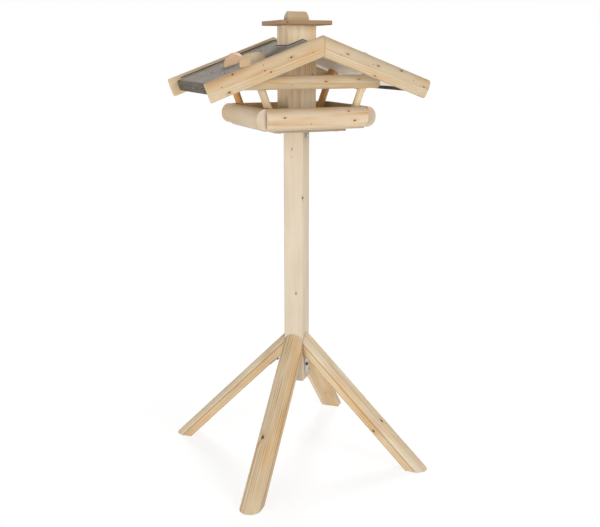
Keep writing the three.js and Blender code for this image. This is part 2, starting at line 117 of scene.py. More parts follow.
def leg_ways(quarter):
    """Level and away from the post, down along the leg, and out of its round side."""
    away = level_way(STAND_TURN + quarter * math.pi / 2)
    run = away * math.cos(LEG_ANGLE) - UP * math.sin(LEG_ANGLE)
    outward = away * math.sin(LEG_ANGLE) + UP * math.cos(LEG_ANGLE)
    return away, run, outward


def down_slope(side):
    """Straight down a slope of the roof."""
    return ACROSS * side * math.cos(ROOF_PITCH) - UP * math.sin(ROOF_PITCH)


def off_slope(side):
    """Square off a slope of the roof."""
    return ACROSS * side * math.sin(ROOF_PITCH) + UP * math.cos(ROOF_PITCH)


print("corners of the house:", ", ".join(name for name, end, side in HOUSE_CORNERS))

# %% [markdown]
# ## Small helpers for node trees
# Shader trees and geometry trees are both built from code below. `put` adds a node, sets its
# options and fills each input, either with a plain value or with a link from another node's
# output. That keeps a tree readable as a list of steps. `new_tree` makes a tree with named inputs
# and outputs, so that the sizes of a thing show by name.

# %% Trees and nodes
FLOAT = "NodeSocketFloat"
VECTOR = "NodeSocketVector"
COLOUR = "NodeSocketColor"
GEOMETRY = "NodeSocketGeometry"
MATERIAL = "NodeSocketMaterial"
OBJECT = "NodeSocketObject"
WHOLE = "NodeSocketInt"


def new_tree(title, kind, takes, gives):
    """A tree, with what it takes and what it gives as sockets by name."""
    tree = bpy.data.node_groups.new(title, kind)
    for label, socket in takes:
        tree.interface.new_socket(name=label, in_out="INPUT", socket_type=socket)
    for label, socket in gives:
        tree.interface.new_socket(name=label, in_out="OUTPUT", socket_type=socket)
    taken = tree.nodes.new("NodeGroupInput").outputs
    given = tree.nodes.new("NodeGroupOutput").inputs
    return tree, taken, given


def put(tree, kind, wiring=(), **options):
    """Adds a node. Wiring is a list of (input, value or output socket)."""
    node = tree.nodes.new(kind)
    for key, value in options.items():
        setattr(node, key, value)
    for key, value in wiring:
        if isinstance(value, bpy.types.NodeSocket):
            tree.links.new(value, node.inputs[key])
        else:
            node.inputs[key].default_value = value
    return node


print("trees can be built")

# %% [markdown]
# ## Steps inside a tree
# A tree is mostly arithmetic on numbers and vectors, ranges mapped to other ranges, blends of two
# colours, and noise. Each gets a word of its own, and gives back an output socket, so the result of
# one step goes straight into the next. A socket knows which tree it is in, so the tree needn't be
# named again at every step. Colours are written as a screen shows them.

# %% Steps and colours
def step(kind, wiring, **options):
    """Adds a node to the tree that its first linked value comes from."""
    tree = next(value.id_data for key, value in wiring if isinstance(value, bpy.types.NodeSocket))
    return put(tree, kind, wiring, **options)


def sums(operation, first, second=0.0, third=0.0):
    """One step of arithmetic on numbers."""
    wiring = [(0, first), (1, second), (2, third)]
    return step("ShaderNodeMath", wiring, operation=operation).outputs[0]


def vectors(operation, first, second=(0, 0, 0)):
    """One step of arithmetic on vectors. LENGTH and DOT_PRODUCT give a number."""
    key = "Scale" if operation == "SCALE" else 1
    node = step("ShaderNodeVectorMath", [(0, first), (key, second)], operation=operation)
    return node.outputs["Value" if operation in ("LENGTH", "DOT_PRODUCT") else "Vector"]


def between(value, start, end, low=0.0, high=1.0):
    """Maps a value from one range to another, smoothly and clamped."""
    wiring = [("Value", value), ("From Min", start), ("From Max", end), ("To Min", low), ("To Max", high)]
    return step("ShaderNodeMapRange", wiring, interpolation_type="SMOOTHSTEP").outputs[0]


def tint(share, first, second, mode="MIX"):
    """Blends two colours."""
    wiring = [(0, share), (6, first), (7, second)]
    return step("ShaderNodeMix", wiring, data_type="RGBA", blend_type=mode).outputs[2]


def grainy(vector, seed, scale, detail=2.0, roughness=0.5):
    """Noise with a seed. The scale is in swings to the metre."""
    wiring = [("Vector", vector), ("W", seed), ("Scale", scale), ("Detail", detail), ("Roughness", roughness)]
    return step("ShaderNodeTexNoise", wiring, noise_dimensions="4D")


def linear(part):
    """One part of a colour, 0 to 255 on a screen, as the linear light that Blender works in."""
    share = part / 255
    return share / 12.92 if share <= 0.04045 else ((share + 0.055) / 1.055) ** 2.4


def paint(red, green, blue):
    """An opaque colour from the three numbers that a screen shows."""
    return linear(red), linear(green), linear(blue), 1.0


print("steps ready; mid grey is", round(paint(128, 128, 128)[0], 3), "in linear light")

# %% [markdown]
# ## Small helpers for objects
# Three steps come back for nearly every piece: a new object has to be linked to the scene before
# it exists for Blender, a material has to be switched to nodes, and an object with modifiers has
# to be turned into the plain mesh that they make. The last step is what keeps the finished pieces
# simple, because nothing is left to be worked out later.

# %% Object helpers
def add_object(title, data):
    """A new object, linked to the scene."""
    thing = bpy.data.objects.new(title, data)
    bpy.context.scene.collection.objects.link(thing)
    return thing


def new_material(title):
    """A material, its tree and its main shader."""
    finish = bpy.data.materials.new(title)
    finish.use_nodes = True
    return finish, finish.node_tree, finish.node_tree.nodes["Principled BSDF"]


def bake(host):
    """The plain mesh that an object's modifiers make."""
    bpy.context.view_layer.update()
    graph = bpy.context.evaluated_depsgraph_get()
    return bpy.data.meshes.new_from_object(host.evaluated_get(graph), depsgraph=graph)


print("object helpers ready")

# %% [markdown]
# ## Knots
# A knot is the foot of a branch that grew out through the wood. On a sawn face it shows as a
# small dark core with a thread of bark round it, in a patch of warmer wood, and the grain flows
# round it as water flows round a stone. One painted blob would not turn the corner of a board, so
# the knot here is a line through the solid wood: whichever face that line meets shows it. OVAL
# draws the core out a little along the grain, and STREAM draws out the wood round it further.
# Edges and reaches are in radii of the knot, from where a share is 0 to where it is 1. The group
# passes on what the knots before it have given, and so any number of them can be chained.

# %% The knot group
OVAL = (1.0, 1.0, 0.72)
STREAM = (1.0, 1.0, 0.36)
CORE_EDGE = (1.15, 0.75)
RIM_WIDTH = 0.4
HALO_REACH = (2.6, 0.7)
FLOW_REACH = (4.0, 0.2)
FLOW_STRENGTH = 1.1
knot_group, taken, given = new_tree(
    "Branch knot", "ShaderNodeTree",
    [("Vector", VECTOR), ("Point", VECTOR), ("Branch", VECTOR), ("Radius", FLOAT),
     ("Bend", FLOAT), ("Core", FLOAT), ("Rim", FLOAT), ("Halo", FLOAT)],
    [("Bend", FLOAT), ("Core", FLOAT), ("Rim", FLOAT), ("Halo", FLOAT)])
offset = vectors("SUBTRACT", taken["Vector"], taken["Point"])
on_branch = vectors("DOT_PRODUCT", offset, taken["Branch"])
branch_part = vectors("SCALE", taken["Branch"], on_branch)
aside = vectors("SUBTRACT", offset, branch_part)
oval = vectors("MULTIPLY", aside, OVAL)
rough = grainy(taken["Vector"], seed=3.0, scale=420.0, detail=1.0)
wobble = sums("MULTIPLY_ADD", rough.outputs[0], 0.5, 0.75)
size = sums("MULTIPLY", taken["Radius"], wobble)
away = sums("DIVIDE", vectors("LENGTH", oval), size)
core = between(away, *CORE_EDGE)
ring_edge = sums("ABSOLUTE", sums("SUBTRACT", away, 1.0))
rim = between(ring_edge, RIM_WIDTH, 0.0)
stream = vectors("MULTIPLY", aside, STREAM)
far = sums("DIVIDE", vectors("LENGTH", stream), size)
halo = between(far, *HALO_REACH)
flow = sums("MULTIPLY", between(far, *FLOW_REACH), taken["Radius"])
bend = sums("MULTIPLY_ADD", flow, FLOW_STRENGTH, taken["Bend"])
knot_group.links.new(bend, given["Bend"])
for label, share in (("Core", core), ("Rim", rim), ("Halo", halo)):
    knot_group.links.new(sums("MAXIMUM", share, taken[label]), given[label])
print("knot group:", len(knot_group.nodes), "nodes")

# %% [markdown]
# ## Spruce
# Spruce is pale, with a darker line of late wood at the end of each year's growth. These yearly
# rings are cylinders round the pith of the tree, so the group measures the distance from a pith
# line, bends it a little as a real trunk does, and takes a ring pattern from it. Every face of a
# piece then shows the right cut through the same tree: lines on a quarter face, flames on a flat
# one, arcs on an end. Fine fibre, slow changes of tone and a few resin streaks run along the
# grain, which is Z in the group, so each of them is noise that is drawn out along Z.
#
# The rings come first. One year runs from 0 to 1 over the width of a ring, and `late` is how far
# the wood has turned dark in it. Noise along the years makes good and bad ones, noise over the
# face lets the lines fade and come back, and sawn faces show them stronger.

# %% The spruce group: rings
DRAWN_OUT = {"trunk": (1.0, 1.0, 0.08), "tone": (1.0, 1.0, 0.22), "fibre": (1.0, 1.0, 0.018)}
YEAR_WANDER = 0.0007
GOOD_YEARS = 1.5
TURNING_DARK = (0.3, 0.92)
TURNING_PALE = (1.0, 0.94)
LINE_DEPTH = (0.3, 0.72, 0.1, 0.68)
DEEPER_IF_SAWN = 0.7
spruce_group, taken, given = new_tree(
    "Spruce grain", "ShaderNodeTree",
    [("Vector", VECTOR), ("Pith", VECTOR), ("Ring", FLOAT), ("Seed", FLOAT), ("Bend", FLOAT),
     ("Core", FLOAT), ("Rim", FLOAT), ("Halo", FLOAT), ("End", FLOAT),
     ("Wave", FLOAT), ("Line", FLOAT), ("Sawn", FLOAT), ("Arris", FLOAT),
     ("Early", COLOUR), ("Late", COLOUR), ("Knot", COLOUR), ("Cast", COLOUR)],
    [("Color", COLOUR), ("Roughness", FLOAT), ("Height", FLOAT)])
spot = taken["Vector"]
seed = taken["Seed"]
drawn = vectors("MULTIPLY", spot, DRAWN_OUT["trunk"])
trunk = grainy(drawn, seed, scale=14.0, detail=1.0).outputs["Color"]
centred = vectors("SUBTRACT", trunk, (0.5, 0.5, 0.5))
bent = vectors("SCALE", centred, taken["Wave"])
grown_spot = vectors("ADD", spot, bent)
from_pith = vectors("SUBTRACT", grown_spot, taken["Pith"])
level_from_pith = vectors("MULTIPLY", from_pith, (1.0, 1.0, 0.0))
year = vectors("LENGTH", level_from_pith)
year = sums("ADD", year, taken["Bend"])
small = grainy(drawn, seed, scale=150.0, detail=1.0).outputs[0]
year = sums("MULTIPLY_ADD", small, YEAR_WANDER, year)
phase = sums("DIVIDE", year, taken["Ring"])
good_years = put(spruce_group, "ShaderNodeTexNoise", [("W", phase), ("Scale", 0.45), ("Detail", 0.0)],
                 noise_dimensions="1D").outputs[0]
phase = sums("MULTIPLY_ADD", good_years, GOOD_YEARS, phase)
part = sums("FRACT", phase)
grown = between(part, *TURNING_DARK)
ended = between(part, *TURNING_PALE)
late = sums("MULTIPLY", grown, ended)
slow = vectors("MULTIPLY", spot, DRAWN_OUT["tone"])
depth = grainy(slow, seed, scale=46.0, detail=1.0).outputs[0]
depth = between(depth, *LINE_DEPTH)
rougher = sums("MULTIPLY_ADD", taken["Sawn"], DEEPER_IF_SAWN, 1.0)
late = sums("MULTIPLY", late, sums("MULTIPLY", depth, rougher))
late = sums("MULTIPLY", late, taken["Line"])
print("rings:", len(spruce_group.nodes), "nodes")

# %% [markdown]
# ## The colour of spruce
# The order of the layers matters. Rings and resin are tinted over the early wood, then come warm
# patches, sawn faces, fibre and slow changes of light. End grain, the piece's cast of its own tone
# with painted light and shade, and a darker line along its arris follow. Only the strongest figure,
# that of the legs, also has a thin hard line at the end of each year. Knots go on last, because
# their cores are darker than anything round them.
# Names in capitals are ranges, tints that multiply, swings round 1, and the greatest shares.

# %% The spruce group: colour and relief
WARM_PATCHES = (0.42, 0.7, 0.0, 0.6)
RESIN_STREAKS = (0.64, 0.8, 0.0, 0.4)
HARD_LINES = (1.3, 2.0)
HONEY = paint(250, 224, 188)
YELLOWER = paint(253, 246, 232)
END_GRAIN = paint(214, 196, 174)
UMBER = paint(164, 134, 100)
AMBER = paint(236, 196, 146)
TONE_SWING = 0.3
FIBRE_SWING = 0.14
END_SHARE = 0.45
HALO_SHARE = 0.42
CORE_SHARE = 0.92
RIM_SHARE = 0.7
thread = vectors("MULTIPLY", spot, DRAWN_OUT["fibre"])
fibre = grainy(thread, seed, scale=950.0, detail=2.0, roughness=0.6).outputs[0]
tone_seed = sums("ADD", seed, 9.0)
tone = grainy(slow, tone_seed, scale=40.0, detail=3.0).outputs[0]
warm_seed = sums("ADD", seed, 6.0)
warm = grainy(slow, warm_seed, scale=30.0, detail=2.0).outputs[0]
warm = between(warm, *WARM_PATCHES)
warm = sums("MULTIPLY", warm, sums("MINIMUM", taken["Line"], 1.0))
resin_seed = sums("ADD", seed, 4.0)
resin = grainy(thread, resin_seed, scale=210.0, detail=1.0).outputs[0]
resin = between(resin, *RESIN_STREAKS)
colour = tint(late, taken["Early"], taken["Late"])
colour = tint(resin, colour, taken["Late"])
honey = tint(1.0, colour, HONEY, "MULTIPLY")
colour = tint(warm, colour, honey)
yellower = tint(1.0, colour, YELLOWER, "MULTIPLY")
colour = tint(taken["Sawn"], colour, yellower)
light = sums("MULTIPLY_ADD", tone, TONE_SWING, 1.0 - TONE_SWING / 2)
light = sums("MULTIPLY_ADD", sums("SUBTRACT", fibre, 0.5), FIBRE_SWING, light)
colour = vectors("SCALE", colour, light)
colour = tint(sums("MULTIPLY", taken["End"], END_SHARE), colour, END_GRAIN)
# The cast multiplies in the piece's own tone together with its painted light and shade.
colour = tint(1.0, colour, taken["Cast"], "MULTIPLY")
# A darker umber line is tinted along the arris between the sawn flank and the round side.
umber = tint(1.0, colour, UMBER, "MULTIPLY")
colour = tint(taken["Arris"], colour, umber)
hard_line = sums("MULTIPLY", between(part, 0.8, 0.9), ended)
hard_line = sums("MULTIPLY", hard_line, between(taken["Line"], *HARD_LINES))
hard_line = sums("MULTIPLY", hard_line, depth)
colour = tint(hard_line, colour, umber)
amber = tint(1.0, colour, AMBER, "MULTIPLY")
colour = tint(sums("MULTIPLY", taken["Halo"], HALO_SHARE), colour, amber)
inner = sums("MULTIPLY_ADD", small, 0.5, 0.55)
heart = vectors("SCALE", taken["Knot"], inner)
colour = tint(sums("MULTIPLY", taken["Core"], CORE_SHARE), colour, heart)
bark = vectors("SCALE", taken["Knot"], 0.4)
colour = tint(sums("MULTIPLY", taken["Rim"], RIM_SHARE), colour, bark)
spruce_group.links.new(colour, given["Color"])
dull = sums("MULTIPLY_ADD", fibre, 0.2, 0.54)
spruce_group.links.new(sums("MULTIPLY_ADD", late, -0.1, dull), given["Roughness"])
relief = sums("MULTIPLY_ADD", fibre, 0.5, sums("MULTIPLY", late, 0.4))
relief = sums("MULTIPLY_ADD", taken["Rim"], -0.6, relief)
spruce_group.links.new(relief, given["Height"])
print("spruce group:", len(spruce_group.nodes), "nodes")

# %% [markdown]
# ## What differs from board to board: tone, painted light and figure
# Some pieces have a cast, by which their colours are multiplied. A cast is partly the board's own
# tone and partly painted light and shade, for how much light reaches the piece where it stands: the
# rear dowels are painted darker and more orange as shade, the silo boards are painted lighter as
# light that reaches them under the roof, the roof boards are paler wood and are painted lighter
# still as light from below, the head plate and tray floor are painted darker as shade under the
# tray, and the lid is browner. Each tone is the wood of spring, the wood of late summer, and the
# knots. Figure is how far the rings wander, in metres, and how strong their lines are. Barges and
# rails have a wavy figure; legs, post and boards are straight-grained, and the legs' lines are the
# strongest.

# %% Tones, casts and figure
TONES = {
    "timber": (paint(214, 195, 164), paint(194, 157, 110), paint(94, 56, 28)),
    "timber_pale": (paint(218, 207, 189), paint(203, 182, 152), paint(88, 54, 30)),
    "timber_warm": (paint(220, 187, 149), paint(197, 151, 106), paint(120, 71, 37)),
}
CASTS_OF_TONE_AND_LIGHT = {
    "post": (0.88, 0.84, 0.79),
    "front_left_barge": (0.86, 0.84, 0.82),
    "front_right_barge": (0.82, 0.82, 0.83),
    "rear_left_barge": (1.02, 1.00, 0.98),
    # Dowels: the rear ones are painted darker and orange as shade, the front right one lighter as painted
    # light.
    "front_left_dowel": (0.78, 0.76, 0.72),
    "front_right_dowel": (1.10, 1.15, 1.18),
    "rear_left_dowel": (0.82, 0.58, 0.34),
    "rear_right_dowel": (0.84, 0.60, 0.34),
    "lid_knob": (0.87, 0.98, 1.04),
    "rear_leg": (0.96, 1.04, 1.18),
    "front_leg": (0.93, 0.93, 0.93),
    "left_leg": (1.00, 1.04, 1.11),
    "right_leg": (1.00, 1.06, 1.16),
    "lid_board": (0.53, 0.43, 0.33),
    # Head plate and tray floor: painted darker as the shade under the tray.
    "head_plate": (0.62, 0.62, 0.62),
    "tray_floor": (0.70, 0.70, 0.69),
    "rear_tray_rail": (1.04, 0.96, 0.84),
    "front_tray_rail": (0.92, 0.91, 0.94),
    "left_tray_rail": (0.85, 0.86, 0.92),
    "right_tray_rail": (0.80, 0.80, 0.83),
    # Silo boards: painted lighter as light that reaches them under the roof.
    "front_silo_board": (1.14, 1.17, 1.22),
    "rear_silo_board": (1.14, 1.17, 1.22),
    "left_silo_board": (1.06, 1.09, 1.18),
    "right_silo_board": (1.06, 1.09, 1.18),
    "front_tie_beam": (0.79, 0.80, 0.82),
    # Roof boards: paler wood, and painted lighter still as light from below on their undersides.
    "left_roof_board": (1.34, 1.48, 1.70),
    "right_roof_board": (1.34, 1.48, 1.70),
    "front_left_dormer": (1.06, 1.13, 1.14),
    "rear_left_dormer": (0.99, 0.92, 0.90),
}
NO_CAST = (1.0, 1.0, 1.0)
FIGURES = {"leg": (0.004, 2.0), "post": (0.006, 0.3), "board": (0.007, 1.15), "beam": (0.012, 1.3)}
OTHER_FIGURE = (0.016, 1.1)
print("timber tones:", ", ".join(TONES) + "; pieces with a cast:", len(CASTS_OF_TONE_AND_LIGHT))

# %% [markdown]
# ## One finish for each piece of timber
# No two boards come from the same place in a tree, so each piece gets its own material: the same
# two groups, with its own pith, seed and knots. A Mapping node of the Texture type turns the
# object's coordinates into the piece's own, where Z runs along the grain, Y looks outward and the
# origin is the middle of the flat side. Knots are then given in millimetres on the piece.
# End grain drinks light and looks paler, so the material compares the normal with the grain. Where
# a piece has deep sawn flanks, `sawn` is their height. They are yellower than the smoothed round
# side, and the arris between the two is darkened.

# %% Timber finish
OUTWARD_BRANCH = (0.0, 1.0, 0.0)
SAWN_BLUR = 0.6 * MM
DARK_ARRIS_WIDE = 1.4 * MM
DARK_ARRIS_NARROW = 0.2 * MM
GRAIN_RELIEF = 0.5 * MM
RELIEF_STRENGTH = 0.35
WOOD_SHEEN = 0.3
END_FACING = (0.55, 0.9)


def piece_axes(grain, outward):
    """The piece's own axes, as the columns of a turn: sideways, outward and along the grain."""
    side = outward.cross(grain).normalized()
    return Matrix((side, outward.normalized(), grain.normalized())).transposed()


def chain_knots(tree, own, knots):
    """Chains a knot group for each knot, and gives what they found between them.

    Knots are (sideways, outward, along, radius[, branch]) in millimetres from the middle.
    """
    found = {"Bend": 0.0, "Core": 0.0, "Rim": 0.0, "Halo": 0.0}
    for side, out, far_along, radius, *branch in knots:
        direction = Vector(branch[0] if branch else OUTWARD_BRANCH).normalized()
        wiring = [("Vector", own), ("Point", Vector((side, out, far_along)) * MM),
                  ("Branch", direction), ("Radius", radius * MM), *found.items()]
        knot = put(tree, "ShaderNodeGroup", wiring, node_tree=knot_group)
        found = {key: knot.outputs[key] for key in found}
    return found


def timber(node, slot_name, middle, grain, outward, pith, ring, knots, seed, sawn=0.0):
    """The finish of one piece. The pith and the ring are in millimetres."""
    early, late_wood, knot_colour = TONES[slot_name]
    # The cast holds the piece's own tone together with its painted light and shade.
    cast = (*CASTS_OF_TONE_AND_LIGHT.get(node, NO_CAST), 1.0)
    wave, line = FIGURES.get(node.rsplit("_", 1)[-1], OTHER_FIGURE)
    finish, tree, shader = new_material(node + " timber")
    where = put(tree, "ShaderNodeTexCoord")
    turn = piece_axes(grain, outward).to_euler("XYZ")
    own = put(tree, "ShaderNodeMapping", [("Vector", where.outputs["Object"]), ("Location", middle),
                                          ("Rotation", turn)], vector_type="TEXTURE").outputs[0]
    facing = vectors("DOT_PRODUCT", where.outputs["Normal"], grain.normalized())
    end = between(sums("ABSOLUTE", facing), *END_FACING)
    flank_share = 0.0
    arris_share = 0.0
    if sawn:
        height = put(tree, "ShaderNodeSeparateXYZ", [("Vector", own)]).outputs["Y"]
        flank_share = between(height, sawn + SAWN_BLUR, sawn - SAWN_BLUR)
        from_arris = sums("ABSOLUTE", sums("SUBTRACT", height, sawn))
        arris_share = between(from_arris, DARK_ARRIS_WIDE, DARK_ARRIS_NARROW)
    wiring = [("Vector", own), ("Pith", (pith[0] * MM, pith[1] * MM, 0.0)), ("Ring", ring * MM),
              ("Seed", seed), ("End", end), ("Wave", wave), ("Line", line), ("Sawn", flank_share),
              ("Arris", arris_share), ("Early", early), ("Late", late_wood), ("Knot", knot_colour),
              ("Cast", cast), *chain_knots(tree, own, knots).items()]
    wood = put(tree, "ShaderNodeGroup", wiring, node_tree=spruce_group)
    bump = step("ShaderNodeBump", [("Height", wood.outputs["Height"]), ("Strength", RELIEF_STRENGTH),
                                   ("Distance", GRAIN_RELIEF)])
    tree.links.new(wood.outputs["Color"], shader.inputs["Base Color"])
    tree.links.new(wood.outputs["Roughness"], shader.inputs["Roughness"])
    tree.links.new(bump.outputs[0], shader.inputs["Normal"])
    shader.inputs["Specular IOR Level"].default_value = WOOD_SHEEN
    return finish


print("timber finish: grain relief", round(GRAIN_RELIEF / MM, 1), "mm")

# %% [markdown]
# ## Stock
# Most of this table is cut from a few lengths of timber whose section never changes: half-round
# rails, square post, thin boards, dowel. A shape that follows one rule suits Geometry Nodes: the
# tree sweeps a section, given as a closed outline, along a straight line of the wanted length and
# caps its ends. One tree then makes every stick of the house and the stand. Every geometry tree of
# this file ends in the same way, so `give_painted` builds that end.

# %% The stock tree
def give_painted(tree, geometry, taken, given):
    """Ends a geometry tree: makes instances real, sets the finish and hands the result out."""
    real = put(tree, "GeometryNodeRealizeInstances", [("Geometry", geometry)])
    painted = put(tree, "GeometryNodeSetMaterial", [("Geometry", real.outputs[0]),
                                                    ("Material", taken["Finish"])])
    tree.links.new(painted.outputs[0], given[0])


stock_tree, taken, given = new_tree(
    "Timber stock", "GeometryNodeTree",
    [("Section", GEOMETRY), ("Length", FLOAT), ("Finish", MATERIAL)], [("Stock", GEOMETRY)])
far_end = put(stock_tree, "ShaderNodeCombineXYZ", [("X", taken["Length"])])
line = put(stock_tree, "GeometryNodeCurvePrimitiveLine", [("End", far_end.outputs[0])])
profile = put(stock_tree, "GeometryNodeMeshToCurve", [("Mesh", taken["Section"])])
swept = put(stock_tree, "GeometryNodeCurveToMesh",
            [("Curve", line.outputs[0]), ("Profile Curve", profile.outputs[0]), ("Fill Caps", True)])
give_painted(stock_tree, swept.outputs[0], taken, given)


def grow(host_mesh, tree, settings):
    """Runs a geometry tree on a mesh and returns the plain mesh that it makes."""
    host = add_object("host", host_mesh)
    modifier = host.modifiers.new("tree", "NODES")
    modifier.node_group = tree
    for label, value in settings.items():
        modifier[tree.interface.items_tree[label].identifier] = value
    made = bake(host)
    host.modifiers.remove(modifier)
    bpy.data.objects.remove(host)
    bpy.data.meshes.remove(host_mesh)
    return made


print("stock tree:", len(stock_tree.nodes), "nodes")

# %% [markdown]
# ## Sections
# A half-round section has a flat side, two short straight flanks and a round over them. It lies
# with its flat on the X axis. A planed section is a rectangle. Real arrises are never razor
# sharp: the planer or a wipe of sandpaper takes them off, and that small round is what catches
# the light along an edge, so every section has one.

# %% Outlines of the sections
ARRIS = 1.4 * MM
ARC_STEPS = 4
ROUND_STEPS = 26


def arc(middle_x, middle_y, across, up, start, end, steps):
    """Points on part of an ellipse. Angles are in degrees."""
    angles = [math.radians(start + (end - start) * i / steps) for i in range(steps + 1)]
    return [(middle_x + across * math.cos(a), middle_y + up * math.sin(a)) for a in angles]


def half_round(width, thickness, flank):
    """A flat on the X axis, two short flanks and a round over them."""
    half = width / 2
    left = arc(ARRIS - half, ARRIS, ARRIS, ARRIS, 180, 270, ARC_STEPS)
    right = arc(half - ARRIS, ARRIS, ARRIS, ARRIS, 270, 360, ARC_STEPS)
    return left + right + arc(0, flank, half, thickness - flank, 0, 180, ROUND_STEPS)


def planed(width, thickness, arris):
    """A rectangle whose flat lies on the X axis."""
    x, low, high = width / 2 - arris, arris, thickness - arris
    outline = arc(-x, low, arris, arris, 180, 270, ARC_STEPS)
    outline += arc(x, low, arris, arris, 270, 360, ARC_STEPS)
    outline += arc(x, high, arris, arris, 0, 90, ARC_STEPS)
    return outline + arc(-x, high, arris, arris, 90, 180, ARC_STEPS)


def turned(diameter):
    """A circle that rests on the X axis."""
    radius = diameter / 2
    return arc(0, radius, radius, radius, 0, 360 - 360 / ROUND_STEPS, ROUND_STEPS - 1)


print("half-round section:", len(half_round(50 * MM, 24 * MM, 4 * MM)), "points")

# %% [markdown]
# ## Sawing and easing
# A stick is sawn off by planes, and its fresh rims are eased with a small bevel, as sandpaper
# does. A bisect leaves the cut open, so `saw` fills it. Only edges that turn by more than CORNER
# are rims. The steps of a round turn by much less, so they are left alone.

# %% Saw and ease
RIM = 1.1 * MM
CORNER = math.radians(55)
CUT_MERGE = 1e-7
POINT_MERGE = 1e-6


def everything(solid):
    """All parts of a bmesh, as its operators want them."""
    return solid.verts[:] + solid.edges[:] + solid.faces[:]


def saw(solid, point, outward):
    """Cuts off what lies beyond a plane and closes the cut."""
    cut = bmesh.ops.bisect_plane(solid, geom=everything(solid), plane_co=point, plane_no=outward,
                                 clear_outer=True, dist=CUT_MERGE)
    rim = [e for e in cut["geom_cut"] if isinstance(e, bmesh.types.BMEdge) and e.is_boundary]
    bmesh.ops.holes_fill(solid, edges=rim, sides=0)


def ease(solid, width, steps=2):
    """Rounds the corners that a saw leaves."""
    solid.normal_update()
    rims = [e for e in solid.edges if len(e.link_faces) == 2 and e.calc_face_angle(0) > CORNER]
    bmesh.ops.bevel(solid, geom=rims, offset=width, offset_type="OFFSET", segments=steps, profile=0.5,
                    affect="EDGES", clamp_overlap=False)


print("saw ready; rims are eased by", round(RIM / MM, 1), "mm")

# %% [markdown]
# ## Stock that isn't quite true
# Milled half-round stock is never quite true, and light that runs along it shows that. So loops
# are cut across the stick, and its round side is let in by a fraction of a millimetre where a
# smooth noise says so. The flat side stays flat, because other pieces lie against it.

# %% Loops and hollows
LOOP_SPACING = 14 * MM
HOLLOW = 0.9 * MM
ROUND_IN = 8 * MM
WAVE_ACROSS = 42.0
WAVE_ALONG = 11.0
SEED_SHIFT = (3.7, 1.3, 2.1)


def add_loops(solid, run):
    """Cuts loops across a stick, so that it has points to move."""
    low = min(v.co @ run for v in solid.verts)
    high = max(v.co @ run for v in solid.verts)
    for i in range(1, int((high - low) / LOOP_SPACING)):
        bmesh.ops.bisect_plane(solid, geom=everything(solid), plane_co=run * (low + i * LOOP_SPACING),
                               plane_no=run, dist=POINT_MERGE)


def hollow_out(solid, run, outward, flat, flank, seed):
    """Lets the round side in here and there, by less than a millimetre."""
    solid.normal_update()
    side = outward.cross(run)
    shift = Vector([seed * part for part in SEED_SHIFT])
    moves = []
    for v in solid.verts:
        rise = v.co @ outward - flat
        share = min(1.0, max(0.0, (rise - flank) / ROUND_IN))
        place = Vector((v.co @ side * WAVE_ACROSS, rise * WAVE_ACROSS, v.co @ run * WAVE_ALONG))
        moves.append(v.normal * (-HOLLOW * share * (0.5 + 0.5 * noise.noise(place + shift))))
    for v, move in zip(solid.verts, moves):
        v.co += move


print("hollows are at most", round(HOLLOW / MM, 1), "mm deep")

# %% [markdown]
# ## From a section to a dressed piece
# A stick comes out of the stock tree along +X. It is turned into place by a matrix whose columns
# are its own directions. When the bench work is done, the bmesh becomes a mesh that is smooth but
# for its true corners.

# %% Sticks and dressed pieces
SHARP = math.radians(38)


def to_mesh(solid, title):
    """Closes the bench work: normals outward, smooth but for true corners."""
    bmesh.ops.recalc_face_normals(solid, faces=solid.faces)
    mesh = bpy.data.meshes.new(title)
    solid.to_mesh(mesh)
    solid.free()
    mesh.shade_smooth()
    mesh.set_sharp_from_angle(angle=SHARP)
    return mesh


def outline_mesh(points):
    """A closed outline as a mesh of edges, which is what the stock tree takes."""
    mesh = bpy.data.meshes.new("section")
    count = len(points)
    mesh.from_pydata([(x, y, 0.0) for x, y in points], [(i, (i + 1) % count) for i in range(count)], [])
    return mesh


def stick(points, start, run, outward, length):
    """A length of stock in its place: a bmesh whose section Y looks outward, from start along run."""
    made = grow(outline_mesh(points), stock_tree, {"Length": length})
    solid = bmesh.new()
    solid.from_mesh(made)
    bpy.data.meshes.remove(made)
    turn = Matrix((run, -outward.cross(run), -outward)).transposed().to_4x4()
    solid.transform(Matrix.Translation(start) @ turn)
    bmesh.ops.remove_doubles(solid, verts=solid.verts, dist=POINT_MERGE)
    return solid


def dress(title, mesh, finish, stands_for, body="root"):
    """Makes the piece, gives it its finish, and puts it in place of the frame's solids."""
    mesh.materials.clear()
    mesh.materials.append(finish)
    piece = add_object(title, mesh)
    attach(piece, body)
    if stands_for:
        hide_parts(*stands_for)


def dress_timber(node, solid, slot_name, middle, grain, outward, body="root", **look):
    """Dresses a sawn piece in timber of its own, under the name of its solid."""
    finish = timber(node, slot_name, middle, grain, outward, **look)
    dress(node + "_timber", to_mesh(solid, node), finish, [node], body)


print("edges sharper than", round(math.degrees(SHARP)), "degrees stay sharp")

# %% [markdown]
# ## Half-round pieces from the frame
# `half_round_piece` measures a solid along the piece's own directions, sweeps fresh stock of that
# width and thickness a little past both ends, and saws it by the planes it is given. A plane is a
# point and the direction in which wood is cut away. This way a mitre, a plumb cut or a level foot
# is made as a joiner makes it. Ordinary cuts are eased; a mitre is cut last and left crisp, so
# that the two pieces close to a hairline.

# %% Half-round pieces
OVERRUN = 40 * MM
RAIL_RING = 2.6


